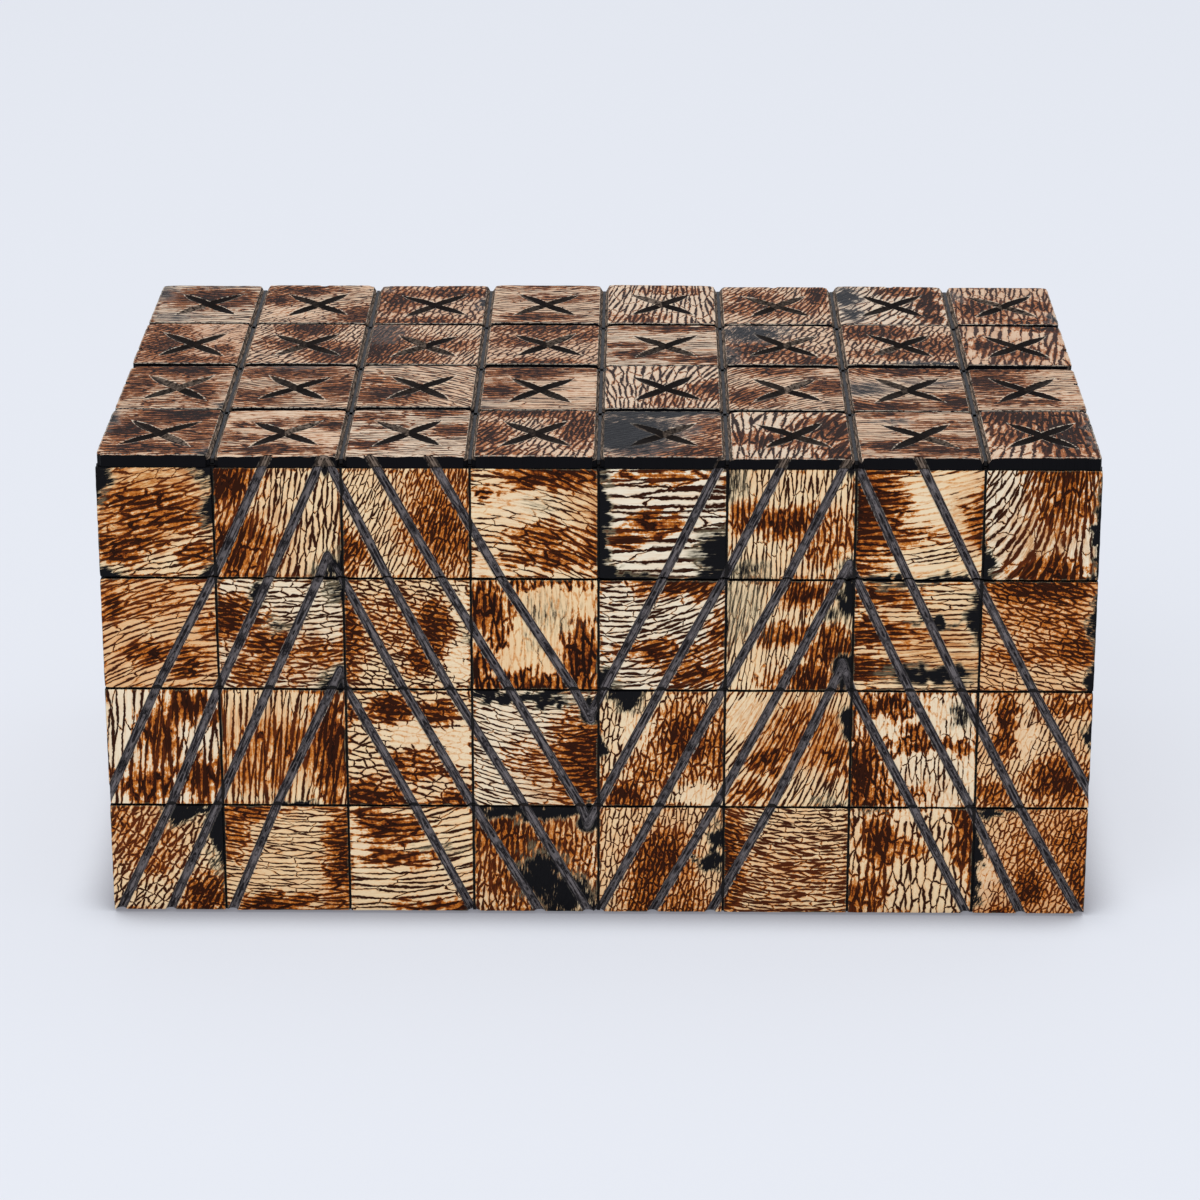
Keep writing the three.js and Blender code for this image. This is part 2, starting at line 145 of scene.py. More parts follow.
# The front's courses from the lid down, each from left to right
WALL_LOOKS = in_rows(
    look(14, 1.25, 3.4, 0.6, burn=[(40, 30, 45, 12, 75), (25, 68, 30, 8, 90), (15, 82, 22, 6, 90),
         (85, 80, 18, 10, 70), (55, 48, 50, 10, 70)], gold=[(50, 20, 55, 30), (35, 50, 45, 25, 90)],
         soot=[(0, 10, 13, 22), (100, 38, 12, 14), (100, 0, 15, 14), (0, 100, 22, 8), (100, 100, 10, 18)]),
    look(78, 1.15, 3.6, 0.95, burn=[(10, 12, 25, 22, 95), (12, 75, 30, 35, 75), (40, 65, 12, 12, 60)],
         gold=[(30, 70, 35, 35, 80), (15, 35, 20, 15, 60)], soot=[(100, 92, 14, 14), (85, 95, 10, 10, 60)],
         fan=18, bold=0.3),
    look(70, 0.85, 2.8, 0.9, burn=[(78, 55, 32, 40, 65), (3, 75, 16, 20, 80), (80, 10, 40, 15, 40)],
         gold=[(75, 50, 35, 40, 60)], fan=14),
    look(-14, 1.2, 3.5, 0.5, burn=[(62, 6, 38, 12, 95), (12, 23, 9, 5, 70), (60, 62, 35, 12, 60),
         (60, 82, 32, 9, 75), (95, 75, 15, 20, 60)], gold=[(92, 25, 16, 30, 80)], soot=[(55, 33, 20, 8, 30)],
         plain=[(35, 33, 35, 16), (15, 93, 30, 12)], fan=-14),
    look(2, 1.75, 6.5, 1, burn=[(45, 50, 22, 12, 80), (22, 62, 20, 10, 60), (50, 6, 50, 6, 60)],
         soot=[(0, 50, 9, 60), (97, 75, 22, 22), (95, 100, 30, 10), (10, 100, 30, 7)], warm=0, bold=0.5),
    look(88, 1.05, 4.4, 0.85, burn=[(47, 48, 35, 13, 90), (13, 44, 14, 16, 60), (78, 62, 30, 30, 40)],
         soot=[(0, 12, 20, 20, 50), (10, 93, 25, 12, 60), (97, 93, 12, 12, 70)]),
    look(8, 1.2, 6, 0.35, burn=[(2, 40, 34, 50, 95), (35, 60, 50, 10, 35), (100, 45, 14, 25, 70)],
         gold=[(100, 42, 20, 30, 90)], soot=[(50, 100, 60, 4)], plain=[(55, 30, 25, 25), (40, 88, 35, 10)],
         fan=10),
    look(74, 1.25, 3.4, 1, burn=[(70, 22, 32, 32, 65), (60, 92, 40, 13, 80), (68, 5, 30, 6, 80)],
         gold=[(50, 60, 40, 40, 80)], soot=[(0, 95, 9, 30), (100, 65, 6, 50)], fan=46, warm=0.05, bold=0.5),

    look(16, 1.1, 4.5, 0.8, burn=[(12, 26, 13, 14, 80), (45, 18, 50, 20, 25), (50, 68, 38, 9, 80),
         (75, 80, 16, 10, 85), (92, 42, 10, 12, 50)], fan=-12, warm=0.75),
    look(-2, 1.05, 2.8, 1, burn=[(10, 36, 30, 20, 85), (40, 60, 22, 16, 80), (80, 66, 20, 12, 60),
         (30, 85, 40, 10, 50)], gold=[(50, 70, 50, 30, 70)], soot=[(32, 13, 6, 7), (100, 100, 20, 20),
         (47, 42, 12, 6, 60), (100, 8, 16, 16, 60)], fan=12, warm=0.1, bold=0.3),
    look(-12, 1, 1.8, 0.95, burn=[(3, 50, 13, 40, 75), (35, 40, 50, 30, 30), (70, 45, 14, 26, 95),
         (60, 75, 12, 13, 95)], soot=[(97, 53, 6, 10, 50)], plain=[(92, 75, 20, 30), (93, 20, 10, 20)],
         bold=0.3),
    look(90, 1.4, 3.2, 0.15, burn=[(13, 27, 20, 20, 85), (20, 55, 7, 20, 60), (87, 70, 14, 32, 95),
         (45, 97, 60, 12, 80), (4, 80, 10, 16, 80), (55, 3, 50, 4, 60)], soot=[(62, 30, 26, 22, 32),
         (50, 57, 9, 10, 35)], warm=0.35),
    look(14, 1.1, 3.6, 0.9, burn=[(65, 6, 40, 10, 85), (50, 65, 40, 10, 80), (80, 85, 30, 12, 70),
         (95, 45, 8, 20, 60)], soot=[(0, 92, 14, 12)], fan=20, warm=0.05, bold=0.35),
    look(82, 0.95, 5.5, 0.45, burn=[(60, 12, 20, 14, 90), (50, 50, 30, 10, 75), (83, 62, 17, 20, 95),
         (65, 90, 35, 12, 85)], soot=[(5, 25, 30, 40, 40), (100, 15, 12, 22), (83, 30, 9, 9, 60)]),
    look(1, 1.05, 7, 0.5, burn=[(15, 47, 36, 12, 85), (20, 12, 34, 12, 65), (15, 80, 28, 10, 95)],
         gold=[(60, 60, 45, 30, 80), (80, 82, 30, 15, 90)], soot=[(62, 86, 36, 10), (100, 30, 10, 26),
         (65, 38, 22, 4, 90), (35, 2, 30, 5, 60)]),
    look(-14, 0.95, 2.4, 0.95, burn=[(50, 8, 55, 14, 90), (60, 35, 50, 20, 45), (82, 60, 30, 18, 70),
         (40, 68, 40, 9, 50)], soot=[(100, 35, 7, 22), (100, 92, 7, 15)], warm=0.7),

    look(86, 1.6, 5, 0.75, burn=[(75, 15, 26, 14, 85), (45, 40, 20, 26, 60), (82, 76, 20, 16, 95),
         (35, 82, 28, 16, 80)], warm=0.1),
    look(84, 1.2, 8, 1, burn=[(50, 50, 50, 26, 40), (87, 50, 14, 55, 95), (30, 72, 30, 20, 40)],
         gold=[(30, 50, 45, 40, 60)], soot=[(55, 100, 25, 3)], fan=-8),
    look(-5, 1.3, 1.8, 0.9, burn=[(35, 16, 20, 11), (72, 19, 16, 9, 95), (4, 20, 8, 8, 80),
         (50, 60, 22, 8, 65), (20, 92, 32, 12, 90), (88, 95, 18, 9, 90), (60, 72, 30, 5, 80)],
         plain=[(60, 38, 45, 12), (93, 50, 20, 28)]),
    look(-8, 1, 3.6, 1, burn=[(92, 60, 30, 45, 85), (50, 60, 30, 20, 30)], gold=[(70, 80, 35, 25, 60)],
         soot=[(25, 5, 60, 5), (60, 10, 30, 3)], fan=14, warm=0.1),
    look(82, 1.05, 2.2, 0.85, burn=[(70, 42, 26, 30, 85), (97, 50, 15, 30, 60), (20, 90, 22, 15, 85),
         (42, 70, 20, 20, 50)], soot=[(22, 4, 14, 13), (0, 47, 5, 10)], plain=[(30, 35, 20, 18),
         (80, 92, 25, 10)]),
    look(66, 1, 5, 0.6, burn=[(33, 58, 16, 12, 95), (60, 35, 30, 25, 45), (87, 55, 15, 16, 65),
         (20, 87, 22, 12, 50)], gold=[(60, 35, 45, 35, 90)], soot=[(100, 27, 9, 16), (85, 97, 30, 4, 50)],
         plain=[(20, 20, 25, 20)], fan=20),
    look(90, 1.2, 2.6, 0.25, burn=[(22, 12, 32, 10, 85), (10, 72, 16, 36, 95), (60, 47, 38, 5, 90),
         (52, 36, 12, 8, 60), (30, 90, 32, 10, 60)], gold=[(50, 85, 35, 12, 40)],
         soot=[(90, 20, 13, 12, 70)], warm=0.15),
    look(72, 1, 2.2, 0.85, burn=[(24, 28, 9, 30, 95), (78, 12, 26, 10, 65), (75, 76, 30, 20, 90),
         (15, 87, 20, 12, 65)], soot=[(100, 38, 6, 13)], plain=[(10, 15, 15, 20), (45, 35, 10, 30)],
         warm=0.6),

    look(58, 1.15, 1.6, 1, burn=[(35, 45, 30, 30, 35), (82, 86, 22, 25, 80), (10, 15, 10, 20, 50)],
         gold=[(30, 20, 45, 40, 60)], soot=[(60, 5, 13, 13), (97, 20, 10, 40), (85, 3, 25, 5)], bold=0.35),
    look(-3, 0.95, 4, 0.6, burn=[(15, 5, 34, 10, 75), (93, 50, 12, 55, 80), (35, 95, 26, 9),
         (60, 88, 20, 6, 80), (8, 30, 12, 20, 60)], fan=8, warm=0.45),
    look(6, 1.35, 5, 0.7, burn=[(35, 20, 26, 12, 95), (42, 50, 26, 7, 85), (25, 42, 12, 10, 60),
         (75, 95, 38, 5, 95), (12, 7, 12, 6, 80)], soot=[(72, 40, 30, 5, 35)], plain=[(8, 40, 16, 30)],
         fan=10),
    look(86, 1.1, 2.6, 1, burn=[(25, 25, 30, 20, 70), (50, 55, 50, 50, 60)], gold=[(40, 30, 50, 40, 90)],
         soot=[(50, 4, 70, 8), (55, 66, 20, 26), (75, 84, 22, 20)], plain=[(93, 50, 6, 20)], bold=0.5),
    look(80, 0.9, 2, 0.95, burn=[(50, 50, 26, 30, 90), (40, 82, 20, 30, 80), (70, 92, 20, 20, 50)],
         soot=[(95, 38, 6, 26, 90), (87, 52, 9, 5)], warm=0.6),
    look(-6, 0.85, 3.6, 1, burn=[(3, 50, 16, 50, 80), (60, 65, 60, 40, 20)], fan=14, warm=0.5, bold=0.9),
    look(86, 1.4, 2.5, 0.9, burn=[(25, 32, 15, 25, 95), (95, 20, 12, 40, 85), (12, 82, 20, 20, 60),
         (52, 40, 12, 12, 60)], soot=[(15, 3, 20, 3, 40)], plain=[(45, 4, 50, 8)]),
    look(70, 0.95, 1.5, 0.8, burn=[(60, 50, 40, 50, 35), (50, 78, 13, 18), (88, 30, 20, 22, 65),
         (92, 70, 12, 30, 75), (30, 97, 20, 5, 85)], soot=[(0, 50, 6, 60), (15, 2, 30, 3.5)],
         plain=[(12, 60, 8, 30)], warm=0.8),
)

# The top's rows from the front, each from left to right
TOP_LOOKS = in_rows(
    look(4, 1.2, 5, 0.3, burn=[(65, 12, 42, 20), (20, 45, 22, 26, 95), (85, 50, 30, 25, 50),
         (50, 85, 60, 12, 80)], soot=[(0, 20, 10, 30, 70), (100, 95, 14, 14, 80)]),
    look(3, 1.1, 6, 0.3, burn=[(30, 32, 22, 7, 90), (85, 34, 25, 8, 90), (45, 85, 45, 10, 80),
         (75, 20, 30, 6, 60), (15, 60, 25, 8, 60)], plain=[(50, 8, 50, 14), (85, 75, 20, 20)]),
    look(-4, 1.1, 5, 0.45, burn=[(20, 18, 20, 9, 80), (70, 6, 30, 8, 70), (15, 75, 25, 9, 85),
         (85, 45, 20, 12, 80), (30, 40, 20, 4, 90)], warm=0.1),
    look(74, 1.2, 3, 0.65, burn=[(85, 35, 20, 40, 70), (45, 5, 50, 10, 80), (12, 55, 18, 25, 75),
         (20, 90, 30, 10, 50)], fan=20),
    look(32, 1.3, 2.6, 0.9, burn=[(60, 88, 45, 14, 80), (85, 40, 20, 40, 40)], soot=[(22, 50, 42, 50, 95),
         (50, 4, 60, 10), (50, 40, 34, 30, 60)]),
    look(80, 1.5, 5, 0.95, burn=[(85, 40, 30, 30, 75), (35, 60, 35, 15, 70), (90, 85, 20, 20, 70)], fan=-22,
         warm=0.05),
    look(4, 1.1, 7, 0.4, burn=[(25, 75, 34, 9), (80, 85, 40, 10, 90), (70, 60, 30, 8, 60),
         (20, 5, 30, 8, 60), (75, 30, 30, 10, 40)], soot=[(30, 22, 20, 6, 60)]),
    look(84, 1.5, 4.5, 0.85, burn=[(40, 12, 50, 20, 90), (72, 50, 26, 50, 95), (30, 55, 20, 20, 60)],
         soot=[(100, 40, 8, 50, 60)], plain=[(6, 70, 10, 30)], fan=20),

    look(2, 1.1, 4, 0.4, burn=[(50, 10, 45, 14, 95), (15, 45, 16, 25, 75), (70, 60, 20, 30, 65),
         (40, 85, 20, 6, 80)], soot=[(100, 90, 8, 12, 80)]),
    look(-4, 1.05, 5, 0.9, burn=[(40, 15, 50, 16, 70), (85, 50, 20, 30, 70), (20, 75, 25, 20, 60)],
         soot=[(50, 2, 50, 6, 50)], fan=26),
    look(-24, 1.4, 3.5, 0.9, burn=[(30, 68, 26, 22, 90), (15, 35, 15, 10, 70)], gold=[(40, 75, 40, 20, 50)],
         soot=[(30, 3, 40, 4, 40)], plain=[(85, 8, 20, 8)], fan=-22),
    look(0, 1.1, 6, 0.45, burn=[(40, 12, 34, 14, 90), (15, 55, 20, 20, 80), (90, 8, 20, 7, 60)],
         soot=[(10, 85, 20, 12, 40)], plain=[(85, 50, 16, 30)]),
    look(84, 1.25, 5, 0.95, burn=[(90, 55, 16, 20, 80), (55, 80, 20, 20, 30)], fan=-26, warm=0.15),
    look(36, 1.15, 4, 0.7, burn=[(45, 10, 30, 10, 70), (85, 45, 20, 16, 80), (20, 70, 25, 20, 65)],
         plain=[(85, 12, 15, 10)], fan=-30),
    look(-12, 1.3, 4, 0.9, burn=[(50, 8, 45, 10, 85), (20, 90, 35, 12, 90), (90, 80, 20, 20, 90)],
         soot=[(15, 50, 30, 20, 60), (70, 35, 30, 10, 50)], fan=36),
    look(4, 1.1, 5, 0.45, burn=[(20, 30, 34, 30, 75), (25, 3, 40, 6, 90), (40, 80, 40, 8, 70)],
         plain=[(85, 70, 20, 16)]),

    look(40, 1.1, 2, 0.35, burn=[(25, 55, 26, 35, 80), (20, 15, 20, 14, 70), (80, 62, 10, 12, 80),
         (55, 90, 40, 8, 70)], plain=[(70, 8, 30, 8)], warm=0.7),
    look(64, 1.2, 2.2, 0.9, burn=[(50, 10, 25, 20, 95), (40, 50, 30, 16, 70), (75, 75, 25, 25, 80)], fan=20),
    look(74, 1, 3.5, 0.95, burn=[(10, 50, 25, 60, 85), (60, 50, 35, 20, 50), (35, 85, 30, 16, 60)],
         soot=[(12, 20, 25, 30, 50)]),
    look(60, 1.3, 1.6, 0.5, burn=[(50, 10, 45, 10, 80), (35, 40, 30, 14, 70), (80, 30, 25, 10, 75),
         (50, 95, 30, 8, 80)], warm=0.5),
    look(4, 1.15, 6, 0.4, burn=[(60, 8, 40, 8, 85), (30, 72, 30, 10, 90), (85, 85, 25, 10, 85),
         (15, 50, 20, 6, 70)], soot=[(85, 55, 20, 5, 30)], warm=0.1),
    look(72, 1.4, 2, 0.9, burn=[(30, 65, 30, 25, 80), (80, 90, 25, 12, 80)], soot=[(25, 22, 34, 26, 75),
         (5, 85, 12, 30, 60), (50, 10, 15, 20, 50)]),
    look(76, 1.3, 2.4, 0.8, burn=[(30, 20, 30, 20, 80), (75, 55, 30, 26, 60), (35, 75, 25, 10, 75)],
         soot=[(75, 100, 30, 9)]),
    look(84, 1.9, 5, 0.55, burn=[(25, 50, 16, 14, 85), (80, 6, 20, 8, 90), (55, 68, 30, 16, 60)],
         plain=[(6, 60, 10, 30)], warm=0.5),

    look(-4, 1.3, 6, 0.9, burn=[(55, 35, 45, 26, 90)], soot=[(3, 20, 16, 30, 60), (20, 85, 30, 14, 50),
         (60, 3, 50, 5, 50)], warm=0.1),
    look(30, 1.2, 2.5, 0.5, burn=[(35, 15, 34, 12, 90), (15, 40, 20, 14, 90), (90, 80, 20, 26, 80)],
         plain=[(30, 72, 20, 14)], fan=-20),
    look(80, 1.3, 2, 0.8, burn=[(20, 40, 16, 30, 80), (70, 20, 30, 14, 80), (40, 92, 40, 8, 70)],
         soot=[(97, 50, 6, 16), (5, 6, 12, 10, 50)], warm=0.5),
    look(2, 1.3, 5, 0.6, burn=[(40, 85, 30, 10, 90), (60, 35, 40, 8, 50), (50, 5, 40, 6, 40)], fan=24),
    look(86, 1.25, 5, 1, burn=[(60, 15, 25, 10, 40), (30, 85, 30, 10, 40)], fan=16, warm=0.15),
    look(68, 1.15, 4, 0.7, burn=[(87, 25, 10, 26), (40, 60, 45, 20, 55), (30, 30, 25, 20, 50)], fan=20),
    look(70, 1.5, 4, 1, burn=[(83, 50, 10, 50, 95), (60, 15, 20, 12, 60)], soot=[(10, 30, 16, 30, 80),
         (15, 75, 12, 20, 70)], fan=20, warm=0),
    look(86, 1.4, 4, 0.75, burn=[(28, 60, 25, 25, 80), (85, 50, 14, 14, 70), (60, 90, 40, 8, 60)],
         soot=[(8, 30, 10, 20, 45), (97, 85, 8, 16, 70)], warm=0.5),
)


# Surfaces


def lattice(rows: int, columns: int, wrap: bool = False) -> Array:
    """Triangles of a grid of points.

    Args:
        rows: Lines of points, one after another.
        columns: Points in a line, in the direction that has the next line on its left.
        wrap: Whether the last point of a line joins the first.

    Returns:
        Rows of three point numbers, two triangles for each cell.
    """
    row, column = np.mgrid[0:rows - 1, 0:columns if wrap else columns - 1]
    a, b = row * columns + column, row * columns + (column + 1) % columns
    c, d = b + columns, a + columns
    halves = [np.stack(corners, -1).reshape(-1, 3) for corners in ((a, b, c), (a, c, d))]
    return np.concatenate(halves)


def spread(marks: Sequence[float], spacing: float) -> Array:
    """The marks in order, with even steps of at most the spacing put in between them.

    Args:
        marks: Places in any order.
        spacing: The longest step.

    Returns:
        All the places, in order.
    """
    marks = sorted(marks)
    parts = [
        np.linspace(low, high, max(1, math.ceil((high - low) / spacing)), endpoint=False)
        for low, high in zip(marks, marks[1:]) if high > low
    ]
    return np.append(np.concatenate(parts), marks[-1])


def smoothstep(low: float, high: float, value: Array) -> Array:
    """0 below low and 1 above high, with an S curve of 3t2 - 2t3 in between."""
    t = np.clip((value - low) / (high - low), 0, 1)
    return t * t * (3 - 2 * t)


def ripple(value: Array, seed: float, pitch: float) -> Array:
    """A sum of three sines of different wavelengths.

    Args:
        value: Where it is read.
        seed: What shifts the sines.
        pitch: About one wavelength.

    Returns:
        Values from about -1 to 1.
    """
    return sum(
        weight * np.sin(2 * math.pi * value / (pitch * stretch) + seed * turn)
        for weight, stretch, turn in ((0.5, 1.0, 1.7), (0.3, 0.53, 4.1), (0.2, 0.31, 2.9))
    )


def side_of(value: Array, low: float, high: float) -> Array:
    """-1 at low, 1 at high and even in between."""
    return (2 * value - low - high) / (high - low)


def inward(x: Array, y: Array, left: float, right: float, low: float, high: float) -> Array:
    """Distance to the nearest edge of a rectangle, from inside it."""
    return np.minimum(np.minimum(x - left, right - x), np.minimum(y - low, high - y))


def quarter_round(radius: Array | float, distance: Array) -> Array:
    """How far a round edge drops below the face at a distance from its side: r less the root of r2 - i2."""
    inset = np.clip(radius - distance, 0, radius)
    return radius - np.sqrt(radius ** 2 - inset ** 2)


def stand_for(piece: Piece, node: str, body: str) -> Piece:
    """Puts a piece in place of a CAD node and on a body."""
    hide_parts(node)
    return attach(piece, body)


@dataclass
class Skin:
    """Closed surfaces gathered into one mesh, in millimetres, with the marks that a finish reads."""

    points: list[Array] = field(default_factory=list)
    faces: list[Array] = field(default_factory=list)
    slots: list[Array] = field(default_factory=list)
    marks: dict[str, list[Array]] = field(default_factory=dict)
    count: int = 0

    def add(self, points: Array, faces: Array, marks: Marks, slot: int = 0) -> None:
        """Adds one closed surface, with equal points made one and empty triangles left out.

        Args:
            points: Rows of x, y and z.
            faces: Rows of three point numbers.
            marks: Rows of three values for every point, by name.
            slot: Number of the material that it shows.
        """
        keys = np.round(points * 1e4).astype(np.int64)
        _, first, place = np.unique(keys, axis=0, return_index=True, return_inverse=True)
        faces = place.reshape(-1)[faces]
        a, b, c = faces.T
        faces = faces[(a != b) & (b != c) & (c != a)]
        self.points.append(points[first])
        self.faces.append(faces + self.count)
        self.slots.append(np.full(len(faces), slot, np.int32))
        for name, values in marks.items():
            self.marks.setdefault(name, []).append(values[first])
        self.count += len(first)

    def add_bar(
        self, xs: Array, low: Array | float, high: Array | float, floor: float, top: float, place: Placing
    ) -> None:
        """Adds a bar of mastic along X: at each station a rectangle across and in height.

        Args:
            xs: Stations along the bar.
            low: Its lower side at each station.
            high: Its upper side at each station.
            floor: Height of its underside.
            top: Height of its upper face.
            place: What stands its points on the box.
        """
        corners = ((high, floor), (high, top), (low, top), (low, floor))
        ring = np.stack([np.stack(np.broadcast_arrays(xs, side, level), -1) for side, level in corners], 1)
        middle = ring.mean(1, keepdims=True).repeat(4, 1)
        rings = np.concatenate([middle[:1], ring, middle[-1:]])
        points = place(rings.reshape(-1, 3))
        marks = {name: np.zeros((len(points), 3)) for name in ("grain", "scorch", "stain", "form", "cut")}
        marks["cut"][:, 0] = UNTOUCHED
        self.add(points, lattice(len(rings), 4, wrap=True), marks, slot=1)

    def add_panel(self, grid: Array, marks: Marks, floor: float, centre: Point, place: Placing) -> None:
        """Adds a grid of points as a closed panel, with sides down to a flat underside and soot on both.

        Args:
            grid: The points of its face, in rows.
            marks: Their marks, by name.
            floor: Height of its underside.
            centre: Middle of its underside.
            place: What stands its points on the box.
        """
        index = np.arange(grid[..., 0].size).reshape(grid.shape[:2])
        ring = np.concatenate([index[0], index[1:, -1], index[-1, -2::-1], index[-2:0:-1, 0]])
        face = grid.reshape(-1, 3)
        lower = face[ring] * [1, 1, 0] + [0, 0, floor]
        start, count = len(face), len(ring)
        here, after = np.arange(count), (np.arange(count) + 1) % count
        sides = np.stack([start + here, start + after, ring[after], ring], -1)
        under = np.stack([np.full(count, start + count), start + after, start + here], -1)
        faces = np.concatenate([lattice(*index.shape), sides[:, [0, 1, 2]], sides[:, [0, 2, 3]], under])
        closed = {}
        for name, values in marks.items():
            flat = values.reshape(-1, 3)
            below = flat[ring]
            if name == "stain":
                below[:, 0] = 1
            closed[name] = np.concatenate([flat, below, below[:1]])
        self.add(place(np.concatenate([face, lower, [[*centre, floor]]])), faces, closed)

    def make(self, name: str, materials: Materials, sharp: float = 32) -> Piece:
        """Makes the object.

        Args:
            name: Its name.
            materials: What its slots show.
            sharp: Angle in degrees above which an edge stays crisp.

        Returns:
            The new object, at the origin.
        """
        points = np.concatenate(self.points) * MILLIMETRE
        faces = np.concatenate(self.faces).astype(np.int32)
        mesh = bpy.data.meshes.new(name)
        mesh.vertices.add(len(points))
        mesh.vertices.foreach_set("co", points.astype(np.float32).ravel())
        mesh.loops.add(faces.size)
        mesh.loops.foreach_set("vertex_index", faces.ravel())
        mesh.polygons.add(len(faces))
        mesh.polygons.foreach_set("loop_start", np.arange(0, faces.size, 3, dtype=np.int32))
        mesh.polygons.foreach_set("material_index", np.concatenate(self.slots))
        mesh.update(calc_edges=True)
        mesh.validate()
        for mark, parts in self.marks.items():
            layer = mesh.attributes.new(mark, "FLOAT_VECTOR", "POINT")
            layer.data.foreach_set("vector", np.concatenate(parts).astype(np.float32).ravel())
        mesh.shade_smooth()
        mesh.set_sharp_from_angle(angle=math.radians(sharp))
        for material in materials:
            mesh.materials.append(material)
        piece = bpy.data.objects.new(name, mesh)
        bpy.context.scene.collection.objects.link(piece)
        return piece


# Carving


@dataclass(frozen=True)
class Groove:
    """A groove cut along a line of points on a face, in millimetres."""

    line: tuple[Point, ...]
    half_width: float
    depth: float
    number: int = 0
    thin_start: bool = False

    def measure(self, x: Array, y: Array) -> Pair:
        """Where points lie in the groove, whose start may be thin and widen along an S curve.

        Args:
            x: Their places across the face.
            y: Their places up the face.

        Returns:
            Distance from the middle line in half widths, and distance along it in millimetres.
        """
        nearest = np.full(x.shape, np.inf)
        along = np.zeros(x.shape)
        travelled = 0.0
        for (ax, ay), (bx, by) in zip(self.line, self.line[1:]):
            length = math.hypot(bx - ax, by - ay)
            dx, dy = (bx - ax) / length, (by - ay) / length
            t = np.clip((x - ax) * dx + (y - ay) * dy, 0, length)
            distance = np.hypot(x - ax - t * dx, y - ay - t * dy)
            closer = distance < nearest
            nearest = np.where(closer, distance, nearest)
            along = np.where(closer, travelled + t, along)
            travelled += length
        half_width = self.half_width * (0.4 + 0.6 * smoothstep(0, 8, along) if self.thin_start else 1.0)
        return nearest / half_width, along

    def middle(self, y: Array) -> Array:
        """Its middle line's x at each height."""
        line = sorted(self.line, key=lambda point: point[1])
        return np.interp(y, [point[1] for point in line], [point[0] for point in line])

    def crosses(self, x0: float, x1: float, y0: float, y1: float) -> bool:
        """Whether it comes near a rectangle."""
        xs, ys = zip(*self.line)
        reach = self.half_width
        return min(xs) < x1 + reach and max(xs) > x0 - reach and min(ys) < y1 + reach and max(ys) > y0 - reach

    def meets_top(self) -> bool:
        """Whether it runs on to the top of the box."""
        return max(y for _, y in self.line) >= TOP_OF_WALLS + CLADDING

    def top_middle(self) -> float:
        """Its middle line's x at the top of the box."""
        return float(self.middle(np.array(BOX_HEIGHT)))


def gouge(share: Array) -> Array:
    """Section of a round gouge: the root of 1 less the square of the share, 0 from its edge on."""
    return np.sqrt(np.clip(1 - share ** 2, 0, 1))


def groove_bite(grooves: Sequence[Groove], x: Array, y: Array) -> Pair:
    """What grooves do at places on a wall; where two meet, the deeper one counts.

    Args:
        grooves: The grooves.
        x: Places across the wall.
        y: Places up the wall.

    Returns:
        How deep the grooves are, and the distance to the nearest in half widths.
    """
    bite, nearest = np.zeros(x.shape), np.full(x.shape, UNTOUCHED)
    for groove in grooves:
        measure, _ = groove.measure(x, y)
        bite = np.maximum(bite, groove.depth * gouge(measure))
        nearest = np.minimum(nearest, measure)
    return bite, nearest


# A groove's line, in tiles: columns from the left edge, courses down from the top
FRONT_LINES: Lines = (
    ((1.44, 0), (0.98, 1), (0.45, 2), (0, 2.92)),
    ((1.87, 0), (1.42, 1), (0.99, 2), (0.54, 3), (0.05, 4)),
    ((1.88, 0.82), (1.81, 1), (1.39, 2), (0.95, 3), (0.49, 4)),
    ((1.96, 1.83), (1.89, 2), (1.43, 3), (1.04, 4)),
    ((2.68, 0), (3.24, 1), (3.81, 2), (3.94, 2.26)),
    ((2.22, 0), (2.77, 1), (3.3, 2), (3.86, 3), (3.91, 3.14)),
    ((1.87, 0), (2.02, 0.3), (2.35, 1), (2.83, 2), (3.41, 3), (3.93, 4)),
    ((1.88, 0.82), (1.99, 1), (2.46, 2), (3, 3), (3.54, 4)),
    ((1.96, 1.83), (2.01, 2), (2.53, 3), (3, 4)),
    ((4.98, 0), (4.5, 1), (4.04, 2), (3.94, 2.2)),
    ((5.46, 0), (4.98, 1), (4.49, 2), (3.99, 3), (3.91, 3.18)),
    ((5.95, 0), (5.47, 1), (4.98, 2), (4.48, 3), (3.99, 4)),
    ((5.96, 0.87), (5.89, 1), (5.43, 2), (4.93, 3), (4.42, 4)),
    ((5.93, 1.76), (5.83, 2), (5.38, 3), (4.89, 4)),
    ((6.47, 0), (6.96, 1), (7.48, 2), (8, 2.86)),
    ((5.97, 0), (6.43, 1), (6.87, 2), (7.4, 3), (7.97, 4)),
    ((5.98, 0.93), (6.02, 1), (6.46, 2), (6.97, 3), (7.45, 4)),
    ((5.92, 1.74), (6, 2), (6.51, 3), (6.97, 4)),
)


def chevron_lines(columns: int, peaks: Sequence[float], seed: int) -> Lines:
    """Lines that run down half a tile a course from both sides of each peak, a little off by hand.

    Args:
        columns: Tiles across the wall.
        peaks: Columns on which the lines meet.
        seed: Number that fixes the hand's errors.

    Returns:
        The lines, in tiles.
    """
    hand = np.random.default_rng(seed)
    valleys = [0.0, *[(a + b) / 2 for a, b in zip(peaks, peaks[1:])], float(columns)]
    lines = []
    for index, peak in enumerate(peaks):
        for heading, limit in ((-1, valleys[index]), (1, valleys[index + 1])):
            for number in range(-1 if limit in (0, columns) else -2, 3):
                start = peak + heading * max(-number, 0) / 2
                first = max(number, 0)
                stops = min(COURSE_COUNT - first, 2 * abs(limit - start))
                places = [*np.arange(0, stops), stops]
                wander = hand.uniform(-0.04, 0.04, len(places))
                lines.append(tuple(
                    (start + heading * step / 2 + error, first + step) for step, error in zip(places, wander)
                ))
    return lines


# Tiles


